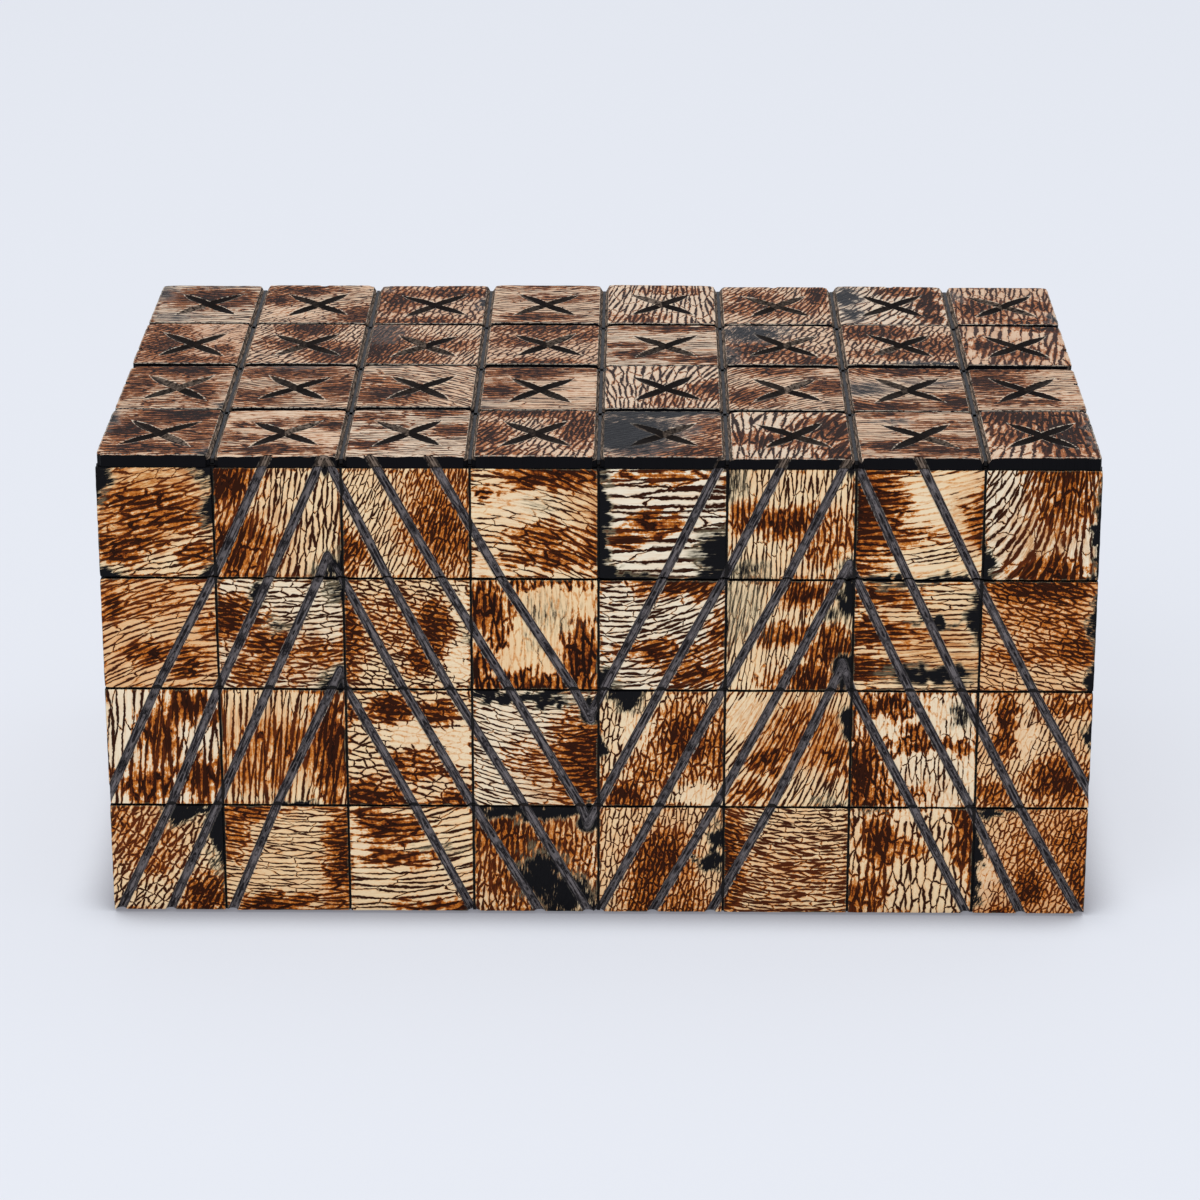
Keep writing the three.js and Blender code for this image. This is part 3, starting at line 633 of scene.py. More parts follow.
def marks_of(style: TileLook, seed: int, x: Array, y: Array, box: Edges, mirror: bool = False) -> Marks:
    """Marks of the scorching at points of a tile.

    The grain is the point turned to the crackle's angle and measured in cells. The form is how much of a
    net the crackle is, the distance to the tile's edge, and how bold the cracks are. Patches are read at
    places moved about by sines, so that they aren't ovals; a patch is 1 inside and falls to 0 along an S
    curve between 0.15 and 1.6 of its radii.

    Args:
        style: The tile's look.
        seed: The tile's number, which shifts its pattern.
        x: Places across the tile.
        y: Places up the tile.
        box: The tile's left, right, low and high edges.
        mirror: Whether the look is used from right to left.

    Returns:
        The marks grain, scorch, stain and form.
    """
    left, right, low, high = box
    across, down = (x - left) / (right - left), (high - y) / (high - low)
    side = -1.0 if mirror else 1.0
    if mirror:
        across = 1 - across
    angle = np.radians(style.angle + style.fan * (across - 0.5))
    px, py = side * (x - (left + right) / 2), y - (low + high) / 2
    grain = np.stack([
        (px * np.cos(angle) + py * np.sin(angle)) / (style.cell * style.stretch) + 17.3 * seed,
        (py * np.cos(angle) - px * np.sin(angle)) / style.cell + 9.1 * seed,
        np.full(x.shape, float(seed)),
    ], -1)
    edge_away = inward(x, y, left, right, low, high).clip(0, 3)
    found = {kind: np.zeros(x.shape) for kind in Kind}
    across = across + 0.05 * ripple(px + 0.7 * py, seed, 7.0) + 0.035 * ripple(py - 0.3 * px, seed + 5, 3.4)
    down = down + 0.05 * ripple(py - 0.6 * px, seed + 2, 7.5) + 0.035 * ripple(px + 0.4 * py, seed + 8, 3.7)
    for kind, ovals in style.patches.items():
        for centre_x, centre_y, half_width, half_height, strength in ovals:
            reach = np.hypot((across - centre_x) / half_width, (down - centre_y) / half_height)
            found[kind] = np.maximum(found[kind], strength * (1 - smoothstep(0.15, 1.6, reach)))
    crack = style.crack * (1 - found[Kind.PLAIN])
    scorch = np.stack([found[Kind.BURN], crack, found[Kind.GOLD]], -1)
    stain = np.stack([found[Kind.SOOT], found[Kind.PLAIN], np.full(x.shape, style.warm)], -1)
    net = min(max((3.4 - style.stretch) / 1.4, 0.0), 1.0)
    form = np.stack([np.full(x.shape, net), edge_away, np.full(x.shape, style.bold)], -1)
    return {"grain": grain, "scorch": scorch, "stain": stain, "form": form}


@dataclass(frozen=True)
class Face:
    """A wall of the box: the way it faces, how far out its outer surface lies, and its tiles' edges."""

    name: str
    out: Point
    reach: float
    edges: Numbers

    def place(self, points: Array) -> Array:
        """Stands flat points on the wall: X to the right, Y up, Z out from the back of the bed."""
        x, y, z = points.T
        depth = self.reach - CLADDING + z
        return np.stack([depth * self.out[0] - x * self.out[1], depth * self.out[1] + x * self.out[0], y], -1)

    def grooves(self, lines: Lines, half_width: float, depth: float) -> list[Groove]:
        """The wall's grooves in millimetres.

        A line that ends on the wall's rim is drawn on past it. Where two lines start from one peak, the one
        that goes right starts thin.

        Args:
            lines: The grooves' middle lines, in tiles.
            half_width: Half of a groove's width.
            depth: Its depth.

        Returns:
            The grooves.
        """
        columns, overrun, same_peak = len(self.edges) - 1, 0.3, 0.15
        found = []
        for number, line in enumerate(lines):
            tiles = np.array(line, float)
            if tiles[0, 1] == 0:
                tiles = np.vstack([tiles[0] - overrun * (tiles[1] - tiles[0]), tiles])
            if tiles[-1, 1] == COURSE_COUNT or tiles[-1, 0] in (0, columns):
                step = tiles[-1] - tiles[-2]
                tiles = np.vstack([tiles, tiles[-1] + overrun * step / np.linalg.norm(step)])
            x = extended(tiles[:, 0], np.arange(columns + 1), np.array(self.edges))
            y = extended(tiles[:, 1], np.arange(COURSE_COUNT + 1), np.array(LEVELS))
            start, drop = line[0]
            meets = any(other is not line and abs(other[0][0] - start) < same_peak and other[0][1] == drop
                        for other in lines)
            thin = meets and line[-1][0] > start
            found.append(Groove(tuple(zip(x.tolist(), y.tolist())), half_width, depth, number, thin))
        return found


def extended(value: Array, marks: Array, places: Array) -> Array:
    """Places of values between the marks, with the first and last steps carried on outside them."""
    index = np.clip(np.floor(value).astype(int), 0, len(marks) - 2)
    return places[index] + (value - index) * (places[index + 1] - places[index])


@dataclass(frozen=True)
class Course:
    """A course of wall tiles: its CAD name, the body that it rides on, its row of looks and its limits."""

    node: str
    body: str
    row: int
    low: float
    high: float
    joint_below: bool = False
    joint_above: bool = False
    seam: int = 0


COURSES = (
    Course("lid_{}_tiles", "lid", 0, SEAM_HEIGHT + SEAM_GAP / 2, TOP_OF_WALLS - SEAT, seam=-1),
    Course("base_{}_tiles_upper", "base", 1, LEVELS[2], SEAM_HEIGHT - SEAM_GAP / 2, joint_below=True, seam=1),
    Course("base_{}_tiles_middle", "base", 2, LEVELS[3], LEVELS[2], joint_below=True, joint_above=True),
    Course("base_{}_tiles_lower", "base", 3, FOOT_GAP, LEVELS[3], joint_above=True),
)


@dataclass
class WallCladding:
    """The tiles of one wall: a black bed, joints filled with mastic, and tiles with gouged chevrons."""

    face: Face
    lines: Lines
    looks: Sequence[Sequence[TileLook]]
    mirrors: Sequence[Sequence[bool]]
    seed: int
    hinge_places: Numbers = ()
    groove_half_width: float = 0.96
    groove_depth: float = 1.1
    column_step: float = 0.95
    row_step: float = 0.85
    fine_step: float = 0.42
    bevel: Numbers = (0.0, 0.09, 0.28)
    bevel_radius: float = 0.17
    sink: float = 0.35
    filler_top: float = 1.9
    filler_inset: float = 0.2
    hinge_half: float = 13.75
    hinge_recess: float = 2.2
    slope_foot: float = 0.62
    slope_angle: float = 50.0
    worn: float = 0.3
    waviness: float = 0.04
    tilt: float = 0.04
    swell: float = 0.03

    def __post_init__(self) -> None:
        """Works out the grooves in millimetres."""
        self.grooves = self.face.grooves(self.lines, self.groove_half_width, self.groove_depth)

    def build(self, course: Course, materials: Materials) -> Piece:
        """Builds one course.

        Args:
            course: Which one.
            materials: Bone, then mastic.

        Returns:
            The course as one object, in place of its CAD node.
        """
        skin = Skin()
        edges = self.face.edges
        low = course.low + (JOINT / 2 if course.joint_below else 0)
        high = course.high - (JOINT / 2 if course.joint_above else 0)
        self.add_bed(skin, course, low, high)
        for column, (left, right) in enumerate(zip(edges, edges[1:])):
            left += JOINT / 2 if column else 0
            right -= JOINT / 2 if column + 2 < len(edges) else 0
            self.add_tile(skin, (left, right, low, high), course, column)
        node = course.node.format(self.face.name)
        return stand_for(skin.make(f"{node}_scorched", materials), node, course.body)

    def notch(self, x: Array) -> Array:
        """How far the hinges cut into the seam edge at each x: their recess within their length, else 0.

        Args:
            x: Places across the wall.

        Returns:
            The depths.
        """
        depth = np.zeros(np.shape(x))
        for place in self.hinge_places:
            depth = np.where(np.abs(x - place) < self.hinge_half, self.hinge_recess, depth)
        return depth

    def notch_marks(self, left: float, right: float) -> list[float]:
        """Stations between two places, just inside and outside the ends of each hinge recess."""
        ends = [place + side * self.hinge_half + step for place in self.hinge_places for side in (-1, 1)
                for step in (-0.01, 0.01)]
        return [end for end in ends if left < end < right]

    def limits(self, x: Array, course: Course, low: float, high: float, top: float = 0.0) -> Pair:
        """Where a part of the course ends below and above, less what it gives to the hinges and the slope.

        Args:
            x: Places across the wall.
            course: The course.
            low: Its lower edge.
            high: Its upper edge.
            top: How high the part stands above the bed's back.

        Returns:
            The lower and the upper end at each x.
        """
        cut = self.notch(x)
        if self.hinge_places:
            cut = np.maximum(cut, (top - self.slope_foot) * math.tan(math.radians(self.slope_angle)))
        return low + (cut if course.seam < 0 else 0 * cut), high - (cut if course.seam > 0 else 0 * cut)

    def add_bed(self, skin: Skin, course: Course, low: float, high: float) -> None:
        """Adds the bed and the mastic that fills the joints.

        Args:
            skin: What they are added to.
            course: The course.
            low: The lower edge of its tiles.
            high: Their upper edge.
        """
        edges, top, place = self.face.edges, self.filler_top, self.face.place
        xs = np.array(sorted([edges[0], edges[-1], *self.notch_marks(edges[0], edges[-1])]))
        skin.add_bar(xs, *self.limits(xs, course, course.low, course.high, BED), 0.0, BED, place)
        for joint in edges[1:-1]:
            xs = np.array([joint - FILLER_HALF, joint + FILLER_HALF])
            skin.add_bar(xs, *self.limits(xs, course, low, high, top), BED / 2, top, place)
        xs = np.array([edges[0] + self.filler_inset, edges[-1] - self.filler_inset])
        if course.joint_below:
            skin.add_bar(xs, course.low, course.low + FILLER_HALF, BED / 2, top, place)
        if course.joint_above:
            skin.add_bar(xs, course.high - FILLER_HALF, course.high, BED / 2, top, place)

    def columns(self, rows: Array, box: Edges) -> Array:
        """Places of the grid's points across a tile.

        In each row they follow the grooves, so that a groove's edges are edges of the mesh, and they are
        spaced evenly between one groove and the next.

        Args:
            rows: Heights of the rows.
            box: The tile's left, right, low and high edges.

        Returns:
            The places, a row for each height.
        """
        left, right = box[0] + self.bevel[-1], box[1] - self.bevel[-1]
        shares = np.array([-1.35, -1.08, -0.97, -0.8, -0.5, -0.17, 0.17, 0.5, 0.8, 0.97, 1.08, 1.35])
        bands = []
        for groove in self.grooves:
            ys = [point[1] for point in groove.line]
            middle = groove.middle(rows)
            inside = (middle > left) & (middle < right) & (rows < max(ys)) & (rows > min(ys))
            if inside.any():
                half = groove.half_width * np.hypot(1, np.gradient(middle, rows))
                bands.append(middle[:, None] + shares * half[:, None])
        bands.sort(key=lambda band: band.mean())
        parts = [np.full((len(rows), 1), left)]
        for band in [*bands, np.full((len(rows), 1), right)]:
            start, end = parts[-1][:, -1:], np.clip(band[:, :1], left, right)
            steps = max(1, math.ceil((end - start).max() / self.column_step))
            parts.append(start + (end - start) * np.arange(1, steps) / steps)
            parts.append(np.clip(band, left, right))
        places = np.maximum.accumulate(np.concatenate(parts, 1), axis=1)
        rims = [np.full((len(rows), 1), edge + turn * step) for edge, turn, steps in
                ((box[0], 1, self.bevel[:-1]), (box[1], -1, self.bevel[-2::-1])) for step in steps]
        half = len(rims) // 2
        return np.concatenate([*rims[:half], places, *rims[half:]], 1)

    def grid(self, box: Edges, course: Course) -> Pair:
        """The grid of a tile's face, finer where a hinge cuts in.

        Args:
            box: The tile's left, right, low and high edges.
            course: Its course.

        Returns:
            Places across the tile, a row for each height, and the heights.
        """
        left, right, low, high = box
        across, up = ([edge + side * step for edge, side in ((first, 1), (last, -1)) for step in self.bevel]
                      for first, last in ((left, right), (low, high)))
        rows = spread(up, self.row_step)
        notched = self.notch_marks(left, right) if course.seam else []
        if notched or (course.seam and self.notch(np.array((left + right) / 2)) > 0):
            return np.tile(spread([*across, *notched], self.fine_step), (len(rows), 1)), rows
        return self.columns(rows, box), rows

    def carve(self, x: Array, y: Array, box: Edges) -> tuple[Array, ...]:
        """What the grooves do at points of a tile.

        Args:
            x: Places across the wall.
            y: Places up the wall.
            box: The tile's left, right, low and high edges.

        Returns:
            Distances to the nearest groove and the second one in half widths, the distance along the
            nearest, and how deep they cut.
        """
        share, second = np.full(x.shape, UNTOUCHED), np.full(x.shape, UNTOUCHED)
        along, depth = np.zeros(x.shape), np.zeros(x.shape)
        for groove in self.grooves:
            if groove.crosses(*box):
                measure, length = groove.measure(x, y)
                second = np.minimum(second, np.maximum(measure, share))
                along = np.where(measure < share, length + 31 * groove.number, along)
                share = np.minimum(measure, share)
                wobble = 1 + 0.1 * ripple(length, groove.number + self.seed, 9.0)
                depth = np.maximum(depth, groove.depth * wobble.clip(0.8, 1.0) * gouge(measure))
        return share, second, along, depth

    def add_tile(self, skin: Skin, box: Edges, course: Course, column: int) -> None:
        """Adds one tile.

        Its face is a height over the grid: the tile's thickness, less a quarter round at its rim, less the
        grooves, and under the slope that leaves room for the lid at the back. Its rim wavers and its corners
        are worn, both by a high power of the place on the tile.

        Args:
            skin: What it is added to.
            box: Its left, right, low and high edges.
            course: Its course.
            column: Its place in the course.
        """
        left, right, low, high = box
        seed = self.seed + 10 * course.row + column
        hand = np.random.default_rng(seed)
        x, rows = self.grid(box, course)
        bottom, top = self.limits(x, course, low, high)
        y = bottom + (top - bottom) * ((rows - low) / (high - low))[:, None]
        far_x, far_y = side_of(x, left, right), side_of(y, low, high)
        side_x, side_y = np.sign(far_x), np.sign(far_y)
        corner = hand.uniform(0.0, self.worn, 4) ** 1.5
        worn = np.abs(far_x * far_y) ** 30 * corner[(1.5 + side_x / 2 + side_y).astype(int) % 4]
        wave_x = np.abs(far_x) ** 24 * self.waviness * (1 + ripple(y, seed, 6.0))
        wave_y = np.abs(far_y) ** 24 * self.waviness * (1 + ripple(x, seed + 0.5, 7.0))
        free_x, free_y = x - side_x * (worn + wave_x), y - side_y * (worn + wave_y)
        share, second, along, depth = self.carve(free_x, free_y, box)
        edge = inward(x, y, left, right, bottom, top)
        rim = quarter_round(self.bevel_radius + 0.05 * hand.uniform(-1, 1), edge)
        tilt = hand.uniform(-self.tilt, self.tilt, 2)
        lean = tilt[0] * far_x + tilt[1] * far_y
        swell = self.swell * (1 + ripple(x + 0.6 * y, seed, 13.0))
        z = CLADDING - rim - depth - swell - np.abs(tilt).sum() - lean
        if self.hinge_places and course.seam:
            reach = high - y if course.seam > 0 else y - low
            z = np.minimum(z, self.slope_foot + reach / math.tan(math.radians(self.slope_angle)))
        style, mirror = self.looks[course.row][column], self.mirrors[course.row][column]
        marks = marks_of(style, seed, free_x, free_y, box, mirror)
        marks["cut"] = np.stack([share, along, 0 * share], -1)
        charred = np.where(edge < 0.05, 0.7, 0.0)
        between = 0.95 * (1 - smoothstep(1.7, 3.0, second))
        marks["stain"][..., 0] = np.maximum(marks["stain"][..., 0], np.maximum(charred, between))
        centre = ((left + right) / 2, (low + high) / 2)
        skin.add_panel(np.stack([free_x, free_y, z], -1), marks, self.sink, centre, self.face.place)


# The top


@dataclass(frozen=True)
class TopTile:
    """What one tile of the top needs while it is made.

    Its edges and joints go by side: left, right, low at the front and high at the back. A side that is no
    joint lies on a wall, and outer has for it the side, the wall's grooves, the axis along it and the
    direction in which the wall counts.
    """

    edge: dict[str, float]
    joint: dict[str, bool]
    outer: list[tuple[str, list[Groove], int, float]]
    seed: int
    hand: np.random.Generator


@dataclass
class TopCladding:
    """The tiles of the lid's top: rows of tiles with a chip-carved cross each, and V channels between."""

    looks: Sequence[Sequence[TileLook]]
    walls: dict[str, WallCladding]
    column_edges: Numbers
    rows: int = 4
    joint: float = 0.5
    row_joint: float = 1.4
    seed: int = 900
    step: float = 0.9
    channel_half_width: float = 0.95
    channel_depth: float = 1.1
    groove_reach: float = 1.25
    knot_gap: float = 0.05
    cross_shares: Numbers = (0.0, 0.12, 0.32, 0.55, 0.8, 0.96, 1.0)
    field_shares: Numbers = (0.02, 0.1, 0.22, 0.36, 0.5, 0.64, 0.78, 0.9)
    skirt_shares: Numbers = (0.97, 0.8, 0.6, 0.4, 0.2, 0.01)
    cross_reach: Point = (7.2, 8.7)
    cross_waist: Point = (1.6, 2.2)
    cross_bulge: float = 3.825
    cross_shift: Point = (0.4, -0.7)
    cross_depth: float = 0.95
    channel_insets: Numbers = (0.0, 0.2, 0.42, 0.62, 0.73, 1.05)
    plain_insets: Numbers = (0.0, 0.07, 0.18, 0.36, 0.55, 0.9)
    filler_top: float = 1.5
    filler_inset: float = 1.4
    filler_reach: float = 0.8
    slack: float = 0.45
    settle: float = 0.4
    tilt: float = 0.09
    waviness: float = 0.09
    foot: float = 0.02

    def build(self, row: int, materials: Materials) -> Piece:
        """Builds one row, counted from the front.

        Args:
            row: Its number, from 0.
            materials: Bone, then mastic.

        Returns:
            The row as one object, in place of its CAD node.
        """
        skin = Skin()
        edges, (low, high) = self.column_edges, self.span(row)
        first, last = row == 0, row + 1 == self.rows
        whole = np.array([edges[0] + self.filler_inset, edges[-1] - self.filler_inset])
        ends = (low + first * self.filler_inset, high - last * self.filler_inset)

        def bar(xs: Array, sides: Point, floor: float = BED / 2, top: float = self.filler_top) -> None:
            """Adds a bar of mastic."""
            skin.add_bar(xs, *sides, floor, top, lambda points: points + [0, 0, TOP_OF_WALLS])

        bar(whole, ends, self.foot, BED)
        for joint in edges[1:-1]:
            bar(np.array([joint - FILLER_HALF, joint + FILLER_HALF]), ends)
        if not first:
            bar(whole, (low, low + self.filler_reach))
        if not last:
            bar(whole, (high - self.filler_reach, high))
        for column, style in enumerate(self.looks[row]):
            self.add_tile(skin, self.tile(row, column), style)
        node = f"lid_top_tiles_row_{row + 1}"
        return stand_for(skin.make(f"{node}_scorched", materials), node, "lid")

    def span(self, row: int) -> Array:
        """Where a row starts and ends."""
        return np.linspace(-BOX_DEPTH / 2, BOX_DEPTH / 2, self.rows + 1)[row:row + 2]

    def tile(self, row: int, column: int) -> TopTile:
        """Sizes a tile: half a joint smaller than its cell, or by chance where it has no joint.

        Args:
            row: Its row, from 0 at the front.
            column: Its column, from 0 at the left.

        Returns:
            The tile.
        """
        joint = {"left": column > 0, "right": column + 2 < len(self.column_edges), "low": row > 0,
                 "high": row + 1 < self.rows}
        hand = np.random.default_rng(self.seed + 500 + 10 * row + column)
        (left, right), (low, high) = self.column_edges[column:column + 2], self.span(row)
        edge = {}
        for side, place, turn, width, loose in (
            ("left", left, 1, self.joint, 1), ("right", right, -1, self.joint, 1),
            ("low", low, 1, self.row_joint, 0.3), ("high", high, -1, self.row_joint, 1),
        ):
            gap = width / 2 if joint[side] else hand.uniform(0, self.slack) * loose
            edge[side] = place + turn * gap
        sides = (("low", "front", 0, 1.0), ("high", "back", 0, -1.0), ("right", "right", 1, 1.0),
                 ("left", "left", 1, -1.0))
        outer = [(side, self.walls[wall].grooves, axis, turn) for side, wall, axis, turn in sides
                 if not joint[side]]
        seed = self.seed + 10 * row + column
        return TopTile(edge, joint, outer, seed, np.random.default_rng(seed))

    def rim(self, tile: TopTile) -> Pair:
        """Points round a tile's edge, closer together where a wall's groove meets it.

        Args:
            tile: The tile.

        Returns:
            The points, and for each its side, its nearer corner and how far it is from the side's middle.
        """
        left, right, low, high = tile.edge.values()
        corners = [(left, low), (right, low), (right, high), (left, high)]
        stations, sectors = [], []
        for index, (start, end) in enumerate(zip(corners, corners[1:] + corners[:1])):
            axis = 0 if start[1] == end[1] else 1
            centres = [turn * groove.top_middle() for side, grooves, _, turn in tile.outer
                       if side == SIDES[index] for groove in grooves if groove.meets_top()]
            features = [centre + share * self.groove_reach for centre in centres
                        for share in (-1, -0.85, -0.5, 0, 0.5, 0.85, 1)]
            ends = sorted((start[axis], end[axis]))
            halfway = sum(ends) / 2
            inside = [mark for mark in features if ends[0] + self.knot_gap < mark < ends[1] - self.knot_gap]
            knots = spread([*ends, halfway, *inside], self.step)
            knots = (knots if end[axis] > start[axis] else knots[::-1])[:-1]
            along = np.full((len(knots), 2), start[1 - axis])
            along[:, axis] = knots
            stations.append(along)
            far = np.minimum(np.abs(knots - halfway) / ((ends[1] - ends[0]) / 2), 1)
            first = np.abs(knots - start[axis]) < np.abs(knots - end[axis]) + 1e-9
            nearer = np.where(first, index, (index + 1) % 4)
            sectors.append(np.stack([np.full(len(far), index), nearer, far], -1))
        return np.concatenate(stations), np.concatenate(sectors)

    def inset(self, tile: TopTile, rim: Array, step: int) -> Array:
        """Moves the rim's points in to a smaller rectangle.

        Args:
            tile: The tile.
            rim: Points round its edge.
            step: Which of the insets.

        Returns:
            The places.
        """
        places = {}
        for (side, edge), turn in zip(tile.edge.items(), (1, -1, 1, -1)):
            channel = side in ("left", "right") and tile.joint[side]
            places[side] = edge + turn * (self.channel_insets if channel else self.plain_insets)[step]
        return np.clip(rim, (places["left"], places["low"]), (places["right"], places["high"]))

    def rings(self, tile: TopTile, rim: Array, sector: Array) -> tuple[Array, ...]:
        """Rings of a tile's face, from the middle of its cross out to its rim.

        Those near the rim are rectangles set in step by step. Further in, a ring is a share of the way from
        there to the cross's outline, and inside the outline a share of the way to its middle, where the
        cut gets deeper in proportion.

        Args:
            tile: The tile.
            rim: Points round its edge.
            sector: For each its side, its nearer corner and how far it is from the side's middle.

        Returns:
            Places, depths below the face and distances from the cross, 1 on its outline.
        """
        left, right, low, high = tile.edge.values()
        middle = np.array([(left + right) / 2, (low + high) / 2]) + self.cross_shift
        middle = middle + tile.hand.uniform(-0.5, 0.5, 2)
        outline = self.cross_outline(sector, tile.hand)
        steps, count = len(self.plain_insets), len(rim)
        inner = self.inset(tile, rim, steps - 1)
        rings = [(middle + share * outline, -self.cross_depth * (1 - share), np.full(count, share))
                 for share in self.cross_shares]
        for share in self.field_shares:
            ring = (middle + outline) * (1 - share) + inner * share
            rings.append((ring, 0.0, 1 + np.linalg.norm(ring - middle - outline, axis=1)))
        for step in reversed(range(steps)):
            rings.append((self.inset(tile, rim, step), 0.0, np.full(count, UNTOUCHED)))
        places, depths, cuts = (np.array(parts) for parts in zip(*rings))
        return places, depths[:, None], cuts

    def add_tile(self, skin: Skin, tile: TopTile, style: TileLook) -> None:
        """Adds one tile.

        It is a closed surface of two parameters, round the tile and from the middle of its cross over its
        rim to the middle of its underside.

        Args:
            skin: What it is added to.
            tile: The tile.
            style: How it was scorched.
        """
        left, right, low, high = tile.edge.values()
        rim, sector = self.rim(tile)
        xy, depth, cut = self.rings(tile, rim, sector)
        tops = len(xy)
        # Painted light and shade on the cross: each of its eight facets gets a random lightness, mostly dark,
        # as lit and shaded faces of the cut
        facet = (2 * sector[:, 0] + (sector[:, 0] != sector[:, 1])).astype(int)
        facets = tile.hand.uniform(0, 1, 8)[facet] ** 5
        xy, z, cut = self.finish_top(tile, xy, depth, cut, facets)
        skirt_xy, skirt_z, skirt_cut = self.skirt(tile, xy[-1], z[-1], rim)
        centre = np.broadcast_to([(left + right) / 2, (low + high) / 2], (1, len(rim), 2))
        xy = np.concatenate([xy, skirt_xy, centre])
        z = np.concatenate([z, skirt_z, np.full((1, len(rim)), self.foot)])
        marks = marks_of(style, tile.seed, xy[..., 0], xy[..., 1], (left, right, low, high))
        marks["cut"] = np.concatenate([cut, skirt_cut, skirt_cut[-1:]])
        marks["stain"][tops:, :, 0] = 1
        marks["form"][tops:, :, 1] = 3
        for side, name in enumerate(SIDES):
            if tile.joint[name]:
                depth = 4 if name == "low" else 2
                sooty = np.ix_(range(tops - depth, tops), np.flatnonzero(sector[:, 0] == side), [0])
                marks["stain"][sooty] = np.maximum(marks["stain"][sooty], 0.85)
        points = np.concatenate([xy, z[..., None]], -1)[::-1].reshape(-1, 3) + [0, 0, TOP_OF_WALLS]
        flat = {name: part[::-1].reshape(-1, 3) for name, part in marks.items()}
        skin.add(points, lattice(*z.shape, wrap=True), flat)

    def cross_outline(self, sector: Array, hand: np.random.Generator) -> Array:
        """Outline of the cross round its middle.

        A tip points at each corner of the tile and a waist at the middle of each side. From tip to waist
        the outline is a straight line that bulges outwards by a parabola.

        Args:
            sector: For each point its side, its nearer corner and how far it is from the side's middle.
            hand: Source of the small errors.

        Returns:
            Places from the middle.
        """
        tips = np.array([(-1, -1), (1, -1), (1, 1), (-1, 1)]) * self.cross_reach
        tips = tips * hand.uniform(0.92, 1.08, (4, 2))
        lean = math.radians(hand.uniform(-4, 4))
        turn = np.array([[math.cos(lean), -math.sin(lean)], [math.sin(lean), math.cos(lean)]])
        waists = np.array([(0, -1), (1, 0), (0, 1), (-1, 0)]) * self.cross_waist
        side, corner, far = sector[:, 0].astype(int), sector[:, 1].astype(int), sector[:, 2:]
        tip, notch = tips[corner], waists[side]
        straight = notch + (tip - notch) * far
        away = notch / np.linalg.norm(notch, axis=1, keepdims=True)
        return (straight + away * self.cross_bulge * far * (1 - far) ** 1.1) @ turn.T

    def finish_top(
        self, tile: TopTile, xy: Array, z: Array, cut: Array, facets: Array
    ) -> tuple[Array, Array, Array]:
        """Wears the rim, cuts the channels and the walls' grooves, and measures the cuts.

        Args:
            tile: The tile.
            xy: Places of the rings' points.
            z: Their depths so far, 0 at the surface.
            cut: Their distance from the cross, 1 on its outline.
            facets: How light each facet of the cross is, as painted light and shade, for every point of a
                ring.

        Returns:
            Places, heights, and the cut marks: distance in widths, distance along, and 1 or more in a cross,
                more by the facet's painted lightness.
        """
        left, right, low, high = tile.edge.values()
        seed, hand = tile.seed, tile.hand
        x, y = xy[..., 0], xy[..., 1]
        far_x, far_y = side_of(x, left, right), side_of(y, low, high)
        corner = np.abs(far_x * far_y) ** 26 * hand.uniform(0.2, 0.9)
        wave = self.waviness * (1 + ripple(np.where(np.abs(far_x) > np.abs(far_y), y, x), seed, 6.5))
        x = x - np.sign(far_x) * (corner + np.abs(far_x) ** 26 * wave)
        y = y - np.sign(far_y) * (corner + np.abs(far_y) ** 26 * wave)
        share, along, kind = cut, np.hypot(x, y), np.where(cut < 1.6, 1.0 + facets, 0.0)
        drop, free = np.zeros(x.shape), np.minimum(np.abs(y - low), np.abs(y - high))
        for side, turn in (("left", 1), ("right", -1)):
            if not tile.joint[side]:
                free = np.minimum(free, np.abs(x - tile.edge[side]))
                continue
            distance = (turn * (xy[..., 0] - tile.edge[side]) + self.joint / 2) / self.channel_half_width
            depth = self.channel_depth * np.clip(1 - distance, 0, 1) ** 0.75
            drop = np.maximum(drop, depth * (1 + 0.08 * ripple(y, seed + turn, 5.0)).clip(0.9, 1))
            near = distance < share
            share, along = np.where(near, distance, share), np.where(near, y + 40 * turn, along)
            kind = np.where(near, 0.0, kind)
        rim = quarter_round(0.34 + 0.1 * ripple(x + y, seed + 3, 4.0), free)
        place, level = [x, y], np.full(x.shape, BOX_HEIGHT)
        for side, grooves, axis, turn in tile.outer:
            edge, across = tile.edge[side], 1 - axis
            for groove in grooves:
                bite = groove.depth * gouge(groove.measure(turn * place[axis], level)[0])
                if side in ("low", "left"):
                    place[across] = np.maximum(place[across], edge + bite)
                else:
                    place[across] = np.minimum(place[across], edge - bite)
        x, y = place
        tilt = hand.uniform(-self.tilt, self.tilt, 2)
        lean = tilt[0] * far_x + tilt[1] * far_y + np.abs(tilt).sum()
        swell = 0.03 * (1 + ripple(x - 0.7 * y, seed, 14.0))
        settled = hand.uniform(0, self.settle)
        sunk = np.abs(far_x * far_y) ** 12 * hand.uniform(0.1, 0.5)
        height = CLADDING + z - rim - drop - lean - swell - settled - sunk
        return np.stack([x, y], -1), height, np.stack([share, along, kind], -1)

